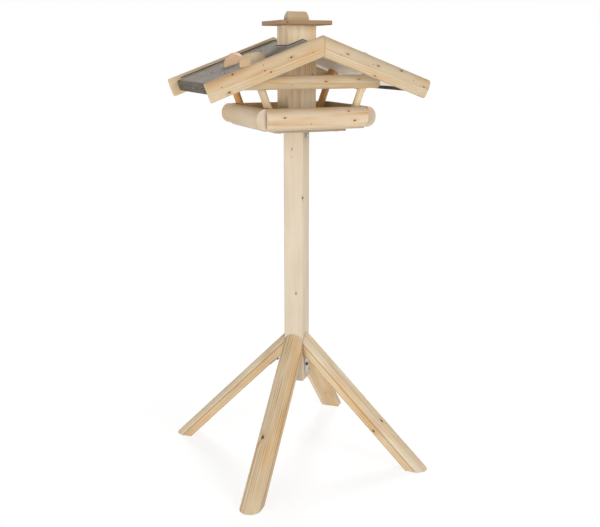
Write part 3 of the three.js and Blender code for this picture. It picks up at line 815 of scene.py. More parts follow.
def half_round_piece(node, slot_name, run, outward, flank, cuts=(), crisp=(), rim=RIM, body="root",
                     ring=RAIL_RING, **look):
    """A half-round piece in place of its solid. The seed also moves its hollows."""
    side = outward.cross(run)
    flat, crown = reach(node, outward)
    near, far = reach(node, run)
    left, right = reach(node, side)
    middle = side * (left + right) / 2 + outward * flat
    start = middle + run * (near - OVERRUN)
    section = half_round(right - left, crown - flat, flank)
    solid = stick(section, start, run, outward, far - near + 2 * OVERRUN)
    ends = cuts or ((run * near, -run), (run * far, run))
    for point, away in ends:
        saw(solid, point, away)
    ease(solid, rim)
    for point, away in crisp:
        saw(solid, point, away)
    add_loops(solid, run)
    hollow_out(solid, run, outward, flat, flank, look["seed"])
    middle = middle + run * (near + far) / 2
    dress_timber(node, solid, slot_name, middle, run, outward, body, ring=ring, **look)


print("half-round stock is swept", round(OVERRUN / MM), "mm past each end")

# %% [markdown]
# ## The four legs
# A leg is half-round with deep sawn flanks, round side up and outward. It has a plumb cut where
# it lies against the post and a level cut for its foot. Both cuts are planes, found from the
# least distance that the solid reaches away from the post and the least height that it reaches.

# %% Legs
LEG_FLANK = 18 * MM
LEG_RING = 3.4
LEG_KNOTS = {
    "right": [(-7.6, 34, 62, 2.5), (-25, 7, 67, 2.2, (-1, 0, 0))],
    "rear": [(6, 34, -60, 1.8), (-8, 33, 95, 1.4)],
    "left": [(15, 31, -219, 3.0), (10, 33, 70, 1.2)],
    "front": [(-9.5, 33, 45, 3.1)],
}
LEG_PITH = {"right": (-27, -10), "rear": (24, -14), "left": (27, -10), "front": (30, -8)}
for leg, quarter in LEGS.items():
    away, run, outward = leg_ways(quarter)
    name = leg + "_leg"
    plumb = away * reach(name, away)[0]
    level = UP * reach(name, UP)[0]
    half_round_piece(name, "timber", run, outward, LEG_FLANK, cuts=((plumb, -away), (level, -UP)),
                     knots=LEG_KNOTS[leg], seed=2.3 * quarter + 1.0, pith=LEG_PITH[leg],
                     ring=LEG_RING, sawn=LEG_FLANK)
print("legs:", len(LEGS), "with", sum(map(len, LEG_KNOTS.values())), "knots")

# %% [markdown]
# ## Tray rails and tie beams
# The tray is a frame of half-round rails with their flat sides inward. The two side rails run
# past the ends of the cross rails, so the corners show a round end against a round flank. Under
# each gable a lighter tie beam of the same form lies against the corner dowels. The front beam's
# left end runs on under the roof boards, where it is cut to their slope. The front rail was sawn a
# little short, which leaves a dark open joint at its right end. In the table below, the first
# number of a knot is its height over the middle of the rail, whichever way the rail lies.

# %% Rails and beams
RAIL_FLANK = 4 * MM
TIE_FLANK = 3 * MM
straight_pieces = [
    ("front_tray_rail", ACROSS, -ALONG, RAIL_FLANK,
     [(4, 23, -85, 1.6), (14.6, 20, 74, 1.3), (-7, 23, 88, 2.0), (-12, 20, -20, 0.9)], 5.0, (2.0, -2.0)),
    ("rear_tray_rail", ACROSS, ALONG, RAIL_FLANK,
     [(-3, 23, 40, 1.8), (8, 23, -70, 1.3)], 6.0, (-3.0, -3.0)),
    ("left_tray_rail", ALONG, -ACROSS, RAIL_FLANK, [(-16, 17, 62, 1.3)], 7.0, (-1.0, -4.0)),
    ("right_tray_rail", ALONG, ACROSS, RAIL_FLANK,
     [(-4, 23, -48, 1.6), (7, 22, 66, 1.2)], 8.0, (3.0, -3.0)),
    ("front_tie_beam", ACROSS, -ALONG, TIE_FLANK,
     [(1, 16, 14, 1.4), (5, 15, 97, 1.1), (-5, 15, -68, 0.7)], 9.0, (-2.0, -4.0)),
    ("rear_tie_beam", ACROSS, ALONG, TIE_FLANK,
     [(2, 16, -44, 1.4), (-4, 15, 78, 1.1)], 10.0, (2.0, -4.0)),
]
LEFT_TAIL = 38 * MM
OPEN_JOINT = 1.4 * MM
roof_cuts = []
for side, board in ((1, "right_roof_board"), (-1, "left_roof_board")):
    square = off_slope(side)
    roof_cuts.append((square * (reach(board, square)[0] - FIT), square))
for name, run, outward, flank, knots, seed, pith in straight_pieces:
    facing_up = math.copysign(1, outward.cross(run).z)
    knots = [(facing_up * height, *rest) for height, *rest in knots]
    near, far = reach(name, run)
    if name == "front_tie_beam":
        near -= LEFT_TAIL
    if name == "front_tray_rail":
        far -= OPEN_JOINT
    cuts = [(run * near, -run), (run * far, run)]
    if name.endswith("beam"):
        cuts += roof_cuts
    half_round_piece(name, "timber", run, outward, flank, cuts, knots=knots, seed=seed, pith=pith)
print("rails and beams:", len(straight_pieces))

# %% [markdown]
# ## Barge boards
# The four barge boards close the gables. Each is half-round with its flat against the roof,
# mitred plumb where it meets its partner at the apex, and sawn square at the eave. They carry
# the most visible knots of the whole table, so those are placed one by one, by their height over
# the middle of the board, their distance down from the ridge and their radius.

# %% Barge boards
BARGE_FLANK = 4 * MM
RIDGE_GAP = 0.15 * MM
BARGE_RING = 2.8
BARGE_KNOT_OUT = 14
BARGE_KNOTS = {
    "front_left": [(-13.8, 244, 1.9), (18.5, 223, 1.4), (-7.4, 141, 1.4), (5, 86, 1.8), (0.1, 153, 1.3)],
    "front_right": [(3.4, 62, 1.5), (5.3, 143, 1.6), (15.6, 205, 1.6), (0.7, 273, 1.4), (-17.9, 145, 1.3)],
    "rear_left": [(4, 70, 1.6), (-8, 160, 1.5), (10, 232, 1.2)],
    "rear_right": [(-5, 98, 1.6), (7, 190, 1.2), (-10, 250, 1.1)],
}
ridge_height = UP * reach("left_roof_board", UP)[1]
for corner_name, end, side in HOUSE_CORNERS:
    name = corner_name + "_barge"
    run = down_slope(side)
    outward = ALONG * end
    rising = math.copysign(1, outward.cross(run).z)
    near, far = reach(name, run)
    from_centre = run @ ridge_height - (near + far) / 2
    knots = [(rising * height, BARGE_KNOT_OUT, from_centre / MM + down, radius)
             for height, down, radius in BARGE_KNOTS[corner_name]]
    apex = ACROSS * side * RIDGE_GAP
    half_round_piece(name, "timber", run, outward, BARGE_FLANK, ((run * far, run),),
                     crisp=((apex, -ACROSS * side),), ring=BARGE_RING, knots=knots,
                     seed=12.0 + 2 * side + end, pith=(4.0 * side, -6.0))
print("barge boards: 4, with", sum(map(len, BARGE_KNOTS.values())), "knots")

# %% [markdown]
# ## Dormers and the lid's knob
# A dormer is a short length of the rails' stock, flat down on the felt with its sawn ends towards
# the gables. All four were set down askew. The knob is cut from a narrower batten with higher
# flanks, and its ends lean in a little. Both come from warmer, more orange wood than the rest.

# %% Dormers and knob
WARM_RING = 2.2
DORMER_TURN = {-1: math.radians(21), 1: math.radians(-22)}
for corner_name, end, side in HOUSE_CORNERS:
    run = ALONG * math.cos(DORMER_TURN[end]) + down_slope(side) * math.sin(DORMER_TURN[end])
    half_round_piece(corner_name + "_dormer", "timber_warm", run, off_slope(side), RAIL_FLANK,
                     knots=[(3, 23, 6 * end, 1.0)], seed=20.0 + side + 2 * end,
                     pith=(3.0 * end, -2.0), ring=WARM_RING)
KNOB_FLANK = 9 * MM
KNOB_TAPER = 5 * MM
KNOB_RIM = 2.4 * MM
knob_half = reach("lid_knob", ACROSS)[1]
lean = (ACROSS * thickness_of("lid_knob", UP) + UP * KNOB_TAPER).normalized()
foot = UP * reach("lid_knob", UP)[0]
knob_cuts = [(foot + ACROSS * knob_half, lean), (foot - ACROSS * knob_half, lean - 2 * ACROSS * lean.x)]
half_round_piece("lid_knob", "timber_warm", ACROSS, UP, KNOB_FLANK, knob_cuts, rim=KNOB_RIM,
                 body="lid", knots=[(4, 20, -13, 0.8)], seed=25.0, pith=(1.0, -2.0), ring=WARM_RING)
print("dormers:", str(len(HOUSE_CORNERS)) + "; knob:", round(2 * knob_half / MM), "mm long")

# %% [markdown]
# ## Post, silo and boards
# These are planed, with square faces. A planed piece sweeps a rectangle along its grain. The
# silo is a box of four boards: the front and rear boards cover the edges of the side boards, so
# a joint line runs down each side of the silo, and the side boards stop above the tray floor so
# that seed runs out.

# %% Planed pieces
POST_EDGE = 3.5 * MM
POST_RING = 3.0
BOARD_EDGE = 1.2 * MM
BOARD_RING = 2.8


def planed_piece(node, slot_name, grain, outward, arris, **look):
    """A piece of rectangular section in place of its solid."""
    side = outward.cross(grain)
    low, high = reach(node, outward)
    near, far = reach(node, grain)
    left, right = reach(node, side)
    base = side * (left + right) / 2 + outward * low
    section = planed(right - left, high - low, arris)
    solid = stick(section, base + grain * near, grain, outward, far - near)
    ease(solid, min(arris, RIM))
    middle = base + grain * (near + far) / 2
    dress_timber(node, solid, slot_name, middle, grain, outward, **look)


front_face = level_way(STAND_TURN - math.pi / 2)
post_middle = sum(reach("post", UP)) / 2 / MM
post_knots = [(3, 50, 787 - post_middle, 1.3), (5, 50, 768 - post_middle, 0.7),
              (-24.5, 49, 670 - post_middle, 2.0, (-0.7, 0.7, 0)), (-7, 50, 429 - post_middle, 1.6)]
planed_piece("post", "timber_pale", UP, front_face, POST_EDGE, knots=post_knots, seed=31.0,
             pith=(11.0, -18.0), ring=POST_RING)
print("post:", round(thickness_of("post", UP) / MM), "mm long")

silo_boards = [
    ("front_silo_board", -ALONG, [(-25.6, 12, -2, 1.6)], 32.0, (9.0, -26.0)),
    ("rear_silo_board", ALONG, [(-10, 12, 40, 1.6)], 33.0, (-12.0, -30.0)),
    ("right_silo_board", ACROSS, [(6, 12, -30, 1.3)], 34.0, (5.0, -22.0)),
    ("left_silo_board", -ACROSS, [], 35.0, (-7.0, -24.0)),
]
for name, outward, knots, seed, pith in silo_boards:
    planed_piece(name, "timber", UP, outward, BOARD_EDGE, knots=knots, seed=seed, pith=pith,
                 ring=BOARD_RING)
print("silo boards:", len(silo_boards))

# %% [markdown]
# ## Slabs: head plate, tray floor, lid board and lid block
# A slab is swept through its thickness instead, so that its plan can have round corners. All four
# have their grain across the house. The lid board has a wider bevel round both faces than the rest.

# %% Slabs
def slab_piece(node, slot_name, corner, rim, body="root", **look):
    """A flat piece in place of its solid, with its plan's corners and its rims rounded."""
    grain = ACROSS
    side = UP.cross(grain)
    low, high = reach(node, UP)
    near, far = reach(node, grain)
    left, right = reach(node, side)
    plan = planed(far - near, right - left, corner)
    centre_line = grain * (near + far) / 2 + UP * low
    solid = stick(plan, centre_line + side * left, UP, side, high - low)
    ease(solid, rim)
    middle = centre_line + side * (left + right) / 2
    dress_timber(node, solid, slot_name, middle, grain, UP, body, ring=BOARD_RING, **look)


slab_piece("head_plate", "timber", corner=4 * MM, rim=0.8 * MM,
           knots=[(30, 7, 52, 1.6)], seed=41.0, pith=(20.0, -35.0))
slab_piece("tray_floor", "timber_pale", corner=1.2 * MM, rim=1.0 * MM,
           knots=[(60, 11, -80, 2.2), (-75, 11, 66, 1.8), (20, 11, 95, 1.4)], seed=42.0,
           pith=(-30.0, -45.0))
slab_piece("lid_board", "timber", corner=2.5 * MM, rim=1.6 * MM, body="lid",
           knots=[(-62, 5, -48.6, 1.3, (1, 0, 0))], seed=43.0, pith=(14.0, -38.0))
slab_piece("lid_block", "timber", corner=1.2 * MM, rim=0.9 * MM, body="lid",
           knots=[], seed=44.0, pith=(5.0, -30.0))
print("slabs: 4")

# %% [markdown]
# ## Corner dowels
# The four dowels are round, stand square to the roof, and lean outward. Each is sawn level on
# the floor and meets the underside of the roof boards squarely, so its top cut is its own end.

# %% Dowels
THIN_RIM = 0.6 * MM
DOWEL_RING = 2.2
for corner_name, end, side in HOUSE_CORNERS:
    name = corner_name + "_dowel"
    run = off_slope(side)
    outward = ALONG * end
    cross = outward.cross(run)
    near, far = reach(name, run)
    left, right = reach(name, cross)
    diameter = thickness_of(name, ALONG)
    inner_y = sum(reach(name, ALONG)) / 2 - end * diameter / 2
    start = cross * (left + right) / 2 + ALONG * inner_y + run * (near - OVERRUN)
    solid = stick(turned(diameter), start, run, outward, far - near + OVERRUN)
    saw(solid, UP * reach(name, UP)[0], -UP)
    ease(solid, THIN_RIM)
    middle = start + run * (OVERRUN + (far - near) / 2)
    dress_timber(name, solid, "timber", middle, run, outward, ring=DOWEL_RING, knots=[],
                 seed=50.0 + side + 2 * end, pith=(2.0 * side, 6.0))
print("dowels:", len(HOUSE_CORNERS), "of", round(diameter / MM), "mm")

# %% [markdown]
# ## Roof boards
# Under the felt each slope is one board with a notch for the silo. Its plan is a plain outline
# with that notch, drawn from above, and the top and the underside are two slanted planes. Drawing
# it in plan keeps the ridge and the notch plumb, as a saw would cut them.

# %% Roof boards
SILO_GAP = 0.5 * MM
ROOF_RING = 3.0
silo_half = reach("front_silo_board", ACROSS)[1] + SILO_GAP


def roof_board_piece(node, side):
    """One slope's board, drawn in plan and cut square at its eave."""
    square = off_slope(side)
    down = down_slope(side)
    underside, top = reach(node, square)
    eave = reach(node, down)[1]
    half_depth = reach(node, ALONG)[1]
    far_x = 2 * reach(node, ACROSS * side)[1]
    plan = [(RIDGE_GAP, -half_depth), (far_x, -half_depth), (far_x, half_depth),
            (RIDGE_GAP, half_depth), (RIDGE_GAP, silo_half), (silo_half, silo_half),
            (silo_half, -silo_half), (RIDGE_GAP, -silo_half)]
    solid = bmesh.new()
    rings = []
    for level in (underside, top):
        ring = []
        for x, y in plan:
            z = (level - x * math.sin(ROOF_PITCH)) / math.cos(ROOF_PITCH)
            ring.append(solid.verts.new((side * x, y, z)))
        rings.append(ring)
    solid.faces.new(rings[0])
    solid.faces.new(rings[1])
    count = len(plan)
    for i in range(count):
        j = (i + 1) % count
        solid.faces.new((rings[0][i], rings[0][j], rings[1][j], rings[1][i]))
    bmesh.ops.recalc_face_normals(solid, faces=solid.faces)
    saw(solid, down * eave, down)
    ease(solid, THIN_RIM, 1)
    middle = square * underside + down * eave / 2
    dress_timber(node, solid, "timber_pale", middle, ALONG, square, ring=ROOF_RING,
                 knots=[(40, 8, -60, 1.8), (-64, 8, 70, 1.6)], seed=60.0 + side,
                 pith=(-18.0 * side, -34.0))


roof_board_piece("left_roof_board", -1)
roof_board_piece("right_roof_board", 1)
print("roof boards: 2,", round(2 * reach("left_roof_board", ALONG)[1] / MM), "mm deep")

# %% [markdown]
# ## Roofing felt
# The felt is one sheet, folded over the ridge and turned down over both eaves, with a square
# opening for the silo. It is a bitumen sheet with mineral grains pressed into its face. Against
# the barge boards and round the silo its edge is turned up a few millimetres. On the folds at the
# eaves the dark bitumen shows, and the turned-up lips are painted near black as the shade that
# falls where they meet a barge board or the silo. The sheet is built as a grid on its middle line,
# so that the folds and the opening fall on grid lines. Its path from eave to eave comes first: one
# half is worked out in distances down the right slope and off it, and the other is its mirror.
# Each point of the path also carries how far the grains are worn off there.

# %% The felt's path
FELT_SAG = 4.5 * MM
FELT_HANG = 3 * MM
BEND_WEAR = 0.7
FLAP_WEAR = 0.85
FELT_CELL = 8 * MM
FOLD_RADIUS = 2.4 * MM
FOLD_STEPS = 4
RIDGE_RADIUS = 4 * MM
right_square = off_slope(1)
right_down = down_slope(1)
board_top = reach("right_roof_board", right_square)[1]
felt_top = reach("right_roof_felt", right_square)[1]
felt_thickness = felt_top - board_top - FIT
felt_middle = felt_top - felt_thickness / 2
felt_out = reach("right_roof_felt", right_down)[1] - felt_thickness / 2 + FELT_SAG
felt_foot = reach("right_roof_felt", right_square)[0] - FELT_HANG
felt_half_depth = reach("right_roof_felt", ALONG)[1] - felt_thickness / 2
opening = silo_half + felt_thickness / 2


def slope_point(down, square):
    """A point in the X-Z plane from its distances along the right slope and off it."""
    spot = right_down * down + right_square * square
    return spot.x, spot.z


def steps_between(start, end, cell=FELT_CELL):
    """Even steps from start up to end, about a cell long. The end itself is left out."""
    count = max(1, round(abs(end - start) / cell))
    return [start + (end - start) * i / count for i in range(count)]


ridge_down = -felt_middle * math.tan(ROOF_PITCH)
notch_down = (opening - felt_middle * math.sin(ROOF_PITCH)) / math.cos(ROOF_PITCH)
bend_start = felt_out - FOLD_RADIUS
first_down = ridge_down + RIDGE_RADIUS * math.tan(ROOF_PITCH)
slope_downs = steps_between(first_down, notch_down) + steps_between(notch_down, bend_start)
half_path = [(slope_point(down, felt_middle), 0.0) for down in slope_downs]
fold_centre = felt_middle - FOLD_RADIUS
for down, square in arc(bend_start, fold_centre, FOLD_RADIUS, FOLD_RADIUS, 90, 0, FOLD_STEPS):
    half_path.append((slope_point(down, square), BEND_WEAR))
flap_start = fold_centre - FELT_CELL / 2
for square in steps_between(flap_start, felt_foot, FELT_CELL / 2) + [felt_foot]:
    half_path.append((slope_point(felt_out, square), FLAP_WEAR))
ridge_z = slope_point(ridge_down, felt_middle)[1] - RIDGE_RADIUS * (1 / math.cos(ROOF_PITCH) - 1)
path = [((-x, z), share) for (x, z), share in reversed(half_path)]
path += [((0.0, ridge_z), 0.0)] + half_path
rows = steps_between(-felt_half_depth, -opening) + steps_between(-opening, opening)
rows += steps_between(opening, felt_half_depth) + [felt_half_depth]
print("felt path:", len(path), "points by", len(rows), "rows")

# %% [markdown]
# ## The felt's grid
# The grid has a point for each step of the path and each row. A small noise keeps the slopes from
# being dead flat and the flaps from hanging like a ruler. No face is made over the silo. A copy of
# the bare grid is kept for the loose grains, and then the edges along the barge boards and round
# the opening are turned up.

# %% The felt's grid
FELT_LIP = 6 * MM
LIP_SHADE = 1.0
RIPPLE = 0.25 * MM
FOLD_RIPPLE = 0.9 * MM
RIPPLE_SCALE = 21
ON_EDGE = 1e-5
sheet = bmesh.new()
bitumen_and_shade = sheet.verts.layers.float.new("bitumen_and_shade")
grid = []
for (x, z), share in path:
    column = []
    for y in rows:
        v = sheet.verts.new((x, y, z))
        v[bitumen_and_shade] = share
        wave = noise.noise(Vector([part * RIPPLE_SCALE for part in (x, y, z)]))
        if share == 0.0:
            v.co.z += RIPPLE * (wave + 0.6)
        elif share == FLAP_WEAR:
            v.co.x += math.copysign(FOLD_RIPPLE * (wave + 0.9) / 2, x)
        column.append(v)
    grid.append(column)
for i in range(len(grid) - 1):
    for j in range(len(rows) - 1):
        face = [grid[i][j], grid[i + 1][j], grid[i + 1][j + 1], grid[i][j + 1]]
        middle_x = sum(v.co.x for v in face) / 4
        middle_y = sum(v.co.y for v in face) / 4
        if abs(middle_x) > opening or abs(middle_y) > opening:
            sheet.faces.new(face)
bmesh.ops.delete(sheet, geom=[v for v in sheet.verts if not v.link_faces], context="VERTS")
bare_sheet = bpy.data.meshes.new("felt sheet")
sheet.to_mesh(bare_sheet)
turned_up = []
for e in sheet.edges:
    if not e.is_boundary:
        continue
    at_barge = all(abs(abs(v.co.y) - felt_half_depth) < ON_EDGE for v in e.verts)
    on_fold = any(v[bitumen_and_shade] > 0 for v in e.verts)
    at_silo = all(max(abs(v.co.x), abs(v.co.y)) < opening + ON_EDGE for v in e.verts)
    if (at_barge and not on_fold) or at_silo:
        turned_up.append(e)
# The turned-up lips get the full mark, which the finish paints near black as shade where they meet the barge
# boards and the silo.
raised = bmesh.ops.extrude_edge_only(sheet, edges=turned_up)
for part in raised["geom"]:
    if isinstance(part, bmesh.types.BMVert):
        part.co.z += FELT_LIP
        part[bitumen_and_shade] = LIP_SHADE
bmesh.ops.recalc_face_normals(sheet, faces=sheet.faces)
if sum(f.normal.z for f in sheet.faces) < 0:
    bmesh.ops.reverse_faces(sheet, faces=sheet.faces)
felt_mesh = bpy.data.meshes.new("roof felt")
sheet.to_mesh(felt_mesh)
sheet.free()
print("felt:", len(felt_mesh.vertices), "points,", len(turned_up), "edges turned up")

# %% [markdown]
# ## The felt's finish
# Seen close, the face is a bed of crushed stone: grains of dark, middle and pale grey, each about
# a millimetre and a half across. A Voronoi texture gives each grain its cell, a random tone from
# the cell's colour, and a small relief from the distance to its centre. Where the sheet's
# `bitumen_and_shade` attribute is high, the grains are worn off and a dark colour takes over:
# bitumen streaked grey and brown on the flap at the eave, and painted shade, nearly black, on the
# lips. Solidify gives the sheet its thickness.

# %% Felt finish
CELLS_PER_METRE = 760.0
GRAIN_TONES = [(0.0, (138, 131, 124)), (0.16, (162, 155, 146)), (0.5, (177, 169, 160)),
               (0.8, (194, 186, 176)), (0.95, (216, 208, 197))]
FELT_RELIEF = 0.6 * MM
FELT_STRENGTH = 0.7
FELT_SHEEN = 0.25
PATCH_SWING = 0.26
SCUFF = 0.35
BARE_FROM = (0.35, 0.75)


def felt_finish():
    """Crushed stone, worn off where the sheet is bent or cut; on the cut lips the dark is painted shade."""
    finish, tree, shader = new_material("Mineral felt")
    own = put(tree, "ShaderNodeTexCoord").outputs["Object"]
    cells = put(tree, "ShaderNodeTexVoronoi", [("Vector", own), ("Scale", CELLS_PER_METRE)])
    pick = put(tree, "ShaderNodeSeparateColor", [("Color", cells.outputs["Color"])]).outputs[0]
    ramp = put(tree, "ShaderNodeValToRGB", [("Fac", pick)])
    ramp.color_ramp.interpolation = "CONSTANT"
    while len(ramp.color_ramp.elements) < len(GRAIN_TONES):
        ramp.color_ramp.elements.new(0.5)
    for element, (place, tone) in zip(ramp.color_ramp.elements, GRAIN_TONES):
        element.position = place
        element.color = paint(*tone)
    patches = grainy(own, seed=2.0, scale=26.0, detail=3.0).outputs[0]
    shade = sums("MULTIPLY_ADD", patches, PATCH_SWING, 1.0 - PATCH_SWING / 2)
    stone = vectors("SCALE", ramp.outputs["Color"], shade)
    share = put(tree, "ShaderNodeAttribute", attribute_name="bitumen_and_shade").outputs["Fac"]
    scuffed = sums("MULTIPLY_ADD", sums("SUBTRACT", pick, 0.5), SCUFF, share)
    bare = between(scuffed, *BARE_FROM)
    drawn = vectors("MULTIPLY", own, (1.0, 0.12, 1.0))
    streaks = grainy(drawn, seed=8.0, scale=420.0, detail=2.0).outputs[0]
    worn = tint(between(streaks, 0.36, 0.64), paint(66, 59, 51), paint(106, 98, 87))
    # On the lips the colour is near black: painted shade where the lip meets a barge board or the silo.
    lip_shade_share = between(share, FLAP_WEAR + 0.03, LIP_SHADE - 0.03)
    bitumen_and_lip_shade = tint(lip_shade_share, worn, paint(58, 46, 38))
    tree.links.new(tint(bare, stone, bitumen_and_lip_shade), shader.inputs["Base Color"])
    tree.links.new(between(bare, 0.0, 1.0, 0.95, 0.6), shader.inputs["Roughness"])
    relief = between(cells.outputs["Distance"], 0.6, 0.1)
    bump = step("ShaderNodeBump", [("Height", relief), ("Strength", FELT_STRENGTH),
                                   ("Distance", FELT_RELIEF)])
    tree.links.new(bump.outputs[0], shader.inputs["Normal"])
    shader.inputs["Specular IOR Level"].default_value = FELT_SHEEN
    return finish


felt_stone = felt_finish()


def thicken(mesh, thickness):
    """Gives a sheet its thickness, half to each side, and returns the plain mesh."""
    host = add_object("host", mesh)
    wall = host.modifiers.new("wall", "SOLIDIFY")
    wall.thickness = thickness
    wall.offset = 0.0
    wall.use_even_offset = True
    made = bake(host)
    bpy.data.objects.remove(host)
    bpy.data.meshes.remove(mesh)
    return made


felt_mesh = thicken(felt_mesh, felt_thickness)
felt_mesh.shade_smooth()
felt_mesh.set_sharp_from_angle(angle=SHARP)
dress("roof_felt_sheet", felt_mesh, felt_stone, ["left_roof_felt", "right_roof_felt"])
print("felt sheet:", len(felt_mesh.polygons), "faces,", round(felt_thickness / MM, 2), "mm thick")

# %% [markdown]
# ## Loose grains on the felt
# A bump can't break the sheet's outline, so some real grains are scattered on it. Geometry Nodes
# place points at random over the slopes, put a small faceted stone on each with its own turn and
# size, and make them real at the end. The seed is fixed, so they always fall the same way.

# %% Mineral grains
STREWN_PER_SQUARE_METRE = 26000.0
GRAIN_SIZE = 0.75 * MM
ALMOST_LEVEL = 0.8
ANY_TURN = (6.3, 6.3, 6.3)
LEAST_STRETCH = (0.5, 0.5, 0.35)
MOST_STRETCH = (1.2, 1.2, 0.8)


def random_vector(tree, seed, least, most):
    """A random vector for each point."""
    node = put(tree, "FunctionNodeRandomValue", [("Seed", seed)], data_type="FLOAT_VECTOR")
    node.inputs[0].default_value = least
    node.inputs[1].default_value = most
    return node.outputs[0]


grain_tree, taken, given = new_tree(
    "Mineral grains", "GeometryNodeTree",
    [("Sheet", GEOMETRY), ("Grains per square metre", FLOAT), ("Grain size", FLOAT), ("Lift", FLOAT),
     ("Seed", WHOLE), ("Finish", MATERIAL)], [("Grains", GEOMETRY)])
normal = put(grain_tree, "GeometryNodeInputNormal")
facing = put(grain_tree, "ShaderNodeSeparateXYZ", [("Vector", normal.outputs[0])]).outputs["Z"]
on_top = put(grain_tree, "FunctionNodeCompare", [(0, facing), (1, ALMOST_LEVEL)],
             operation="GREATER_THAN").outputs[0]
strewn = put(grain_tree, "GeometryNodeDistributePointsOnFaces",
             [("Mesh", taken["Sheet"]), ("Density", taken["Grains per square metre"]),
              ("Seed", taken["Seed"]), ("Selection", on_top)])
stone = put(grain_tree, "GeometryNodeMeshIcoSphere",
            [("Radius", taken["Grain size"]), ("Subdivisions", 1)])
spin = random_vector(grain_tree, taken["Seed"], (0.0, 0.0, 0.0), ANY_TURN)
stretch = random_vector(grain_tree, taken["Seed"], LEAST_STRETCH, MOST_STRETCH)
raised_by = put(grain_tree, "ShaderNodeCombineXYZ", [("Z", taken["Lift"])])
lifted = put(grain_tree, "GeometryNodeSetPosition", [("Geometry", strewn.outputs["Points"]),
                                                     ("Offset", raised_by.outputs[0])])
scattered = put(grain_tree, "GeometryNodeInstanceOnPoints",
                [("Points", lifted.outputs[0]), ("Instance", stone.outputs["Mesh"]),
                 ("Rotation", spin), ("Scale", stretch)])
give_painted(grain_tree, scattered.outputs[0], taken, given)
grains = grow(bare_sheet, grain_tree, {
    "Grains per square metre": STREWN_PER_SQUARE_METRE, "Grain size": GRAIN_SIZE,
    "Lift": felt_thickness / 2, "Seed": 7, "Finish": felt_stone})
dress("roof_felt_grains", grains, felt_stone, [])
print("grains:", len(grains.polygons) // 20)

# %% [markdown]
# ## Zinc, screws painted dark as shade, and wire
# The straps under the legs, the angles under the head plate and the screws of the house are
# zinc-plated. Zinc is a soft grey metal whose crystals show as faint patches, a little duller in
# some than others. The screws that hold the straps to the legs are painted near black as shade, so
# that they show as the dark, shadowed holes of the straps. The pins that hold the barge boards are
# plain wire nails, darker than zinc, and dull on top.

# %% Metal finishes
SCUFF_RELIEF = 0.1 * MM


def metal_finish(title, bright, dark, cell_scale, low_roughness, high_roughness):
    """Metal in patches: the brighter a patch is, the smoother it is."""
    finish, tree, shader = new_material(title)
    own = put(tree, "ShaderNodeTexCoord").outputs["Object"]
    crystals = put(tree, "ShaderNodeTexVoronoi", [("Vector", own), ("Scale", cell_scale)])
    pick = put(tree, "ShaderNodeSeparateColor", [("Color", crystals.outputs["Color"])]).outputs[0]
    scuff = grainy(own, seed=5.0, scale=900.0, detail=2.0).outputs[0]
    share = sums("MULTIPLY_ADD", pick, 0.6, sums("MULTIPLY", scuff, 0.4))
    tree.links.new(tint(share, dark, bright), shader.inputs["Base Color"])
    tree.links.new(between(share, 0.0, 1.0, high_roughness, low_roughness), shader.inputs["Roughness"])
    bump = put(tree, "ShaderNodeBump", [("Height", scuff), ("Strength", 0.15), ("Distance", SCUFF_RELIEF)])
    tree.links.new(bump.outputs[0], shader.inputs["Normal"])
    shader.inputs["Metallic"].default_value = 1.0
    return finish


zinc = metal_finish("Zinc plate", paint(222, 221, 216), paint(176, 175, 170), 260.0, 0.28, 0.48)
# The strap screws are painted near black as shade: they stand for the dark, shadowed holes of the straps.
dark_as_shade = metal_finish("Blackened screws", paint(58, 56, 54), paint(26, 25, 25), 700.0, 0.5, 0.7)
wire = metal_finish("Nail wire", paint(120, 112, 102), paint(78, 70, 62), 700.0, 0.4, 0.6)
print("metals:", zinc.name + ",", dark_as_shade.name, "and", wire.name)

# %% [markdown]
# ## Perforated straps
# Builder's strap comes with punched holes at a fixed pitch. Under each leg a piece of it is bent
# into the angle between leg and post. The host mesh holds the bent face of each strap and, as
# loose points, the centres of its holes with the direction in which each is punched. The tree
# gives the face its thickness, sets a punch on each point and takes all the punches out at once.

# %% The strap tree
STRAP_GAUGE = 1.6 * MM
STRAP_HOLE = 5 * MM
WELD = 1e-5


def named(tree, name, data_type):
    """An attribute of the host mesh, read by its name."""
    wiring = [("Name", name)]
    return put(tree, "GeometryNodeInputNamedAttribute", wiring, data_type=data_type).outputs[0]


strap_tree, taken, given = new_tree(
    "Perforated strap", "GeometryNodeTree",
    [("Faces and hole points", GEOMETRY), ("Thickness", FLOAT), ("Hole", FLOAT), ("Finish", MATERIAL)],
    [("Strap", GEOMETRY)])
is_hole = named(strap_tree, "is_hole", "BOOLEAN")
axis = named(strap_tree, "axis", "FLOAT_VECTOR")
faces = put(strap_tree, "GeometryNodeDeleteGeometry",
            [("Geometry", taken["Faces and hole points"]), ("Selection", is_hole)])
walls = put(strap_tree, "GeometryNodeExtrudeMesh",
            [("Mesh", faces.outputs[0]), ("Offset Scale", taken["Thickness"]), ("Individual", False)])
back = put(strap_tree, "GeometryNodeFlipFaces", [("Mesh", faces.outputs[0])])
both = put(strap_tree, "GeometryNodeJoinGeometry")
strap_tree.links.new(walls.outputs[0], both.inputs[0])
strap_tree.links.new(back.outputs[0], both.inputs[0])
closed = put(strap_tree, "GeometryNodeMergeByDistance", [("Geometry", both.outputs[0]), ("Distance", WELD)])
punch_length = sums("MULTIPLY", taken["Thickness"], 4.0)
half_hole = sums("MULTIPLY", taken["Hole"], 0.5)
punch = put(strap_tree, "GeometryNodeMeshCylinder",
            [("Vertices", 24), ("Radius", half_hole), ("Depth", punch_length)])
aim = put(strap_tree, "FunctionNodeAlignRotationToVector", [("Vector", axis)], axis="Z")
set_out = put(strap_tree, "GeometryNodeInstanceOnPoints",
              [("Points", taken["Faces and hole points"]), ("Selection", is_hole),
               ("Instance", punch.outputs["Mesh"]), ("Rotation", aim.outputs[0])])
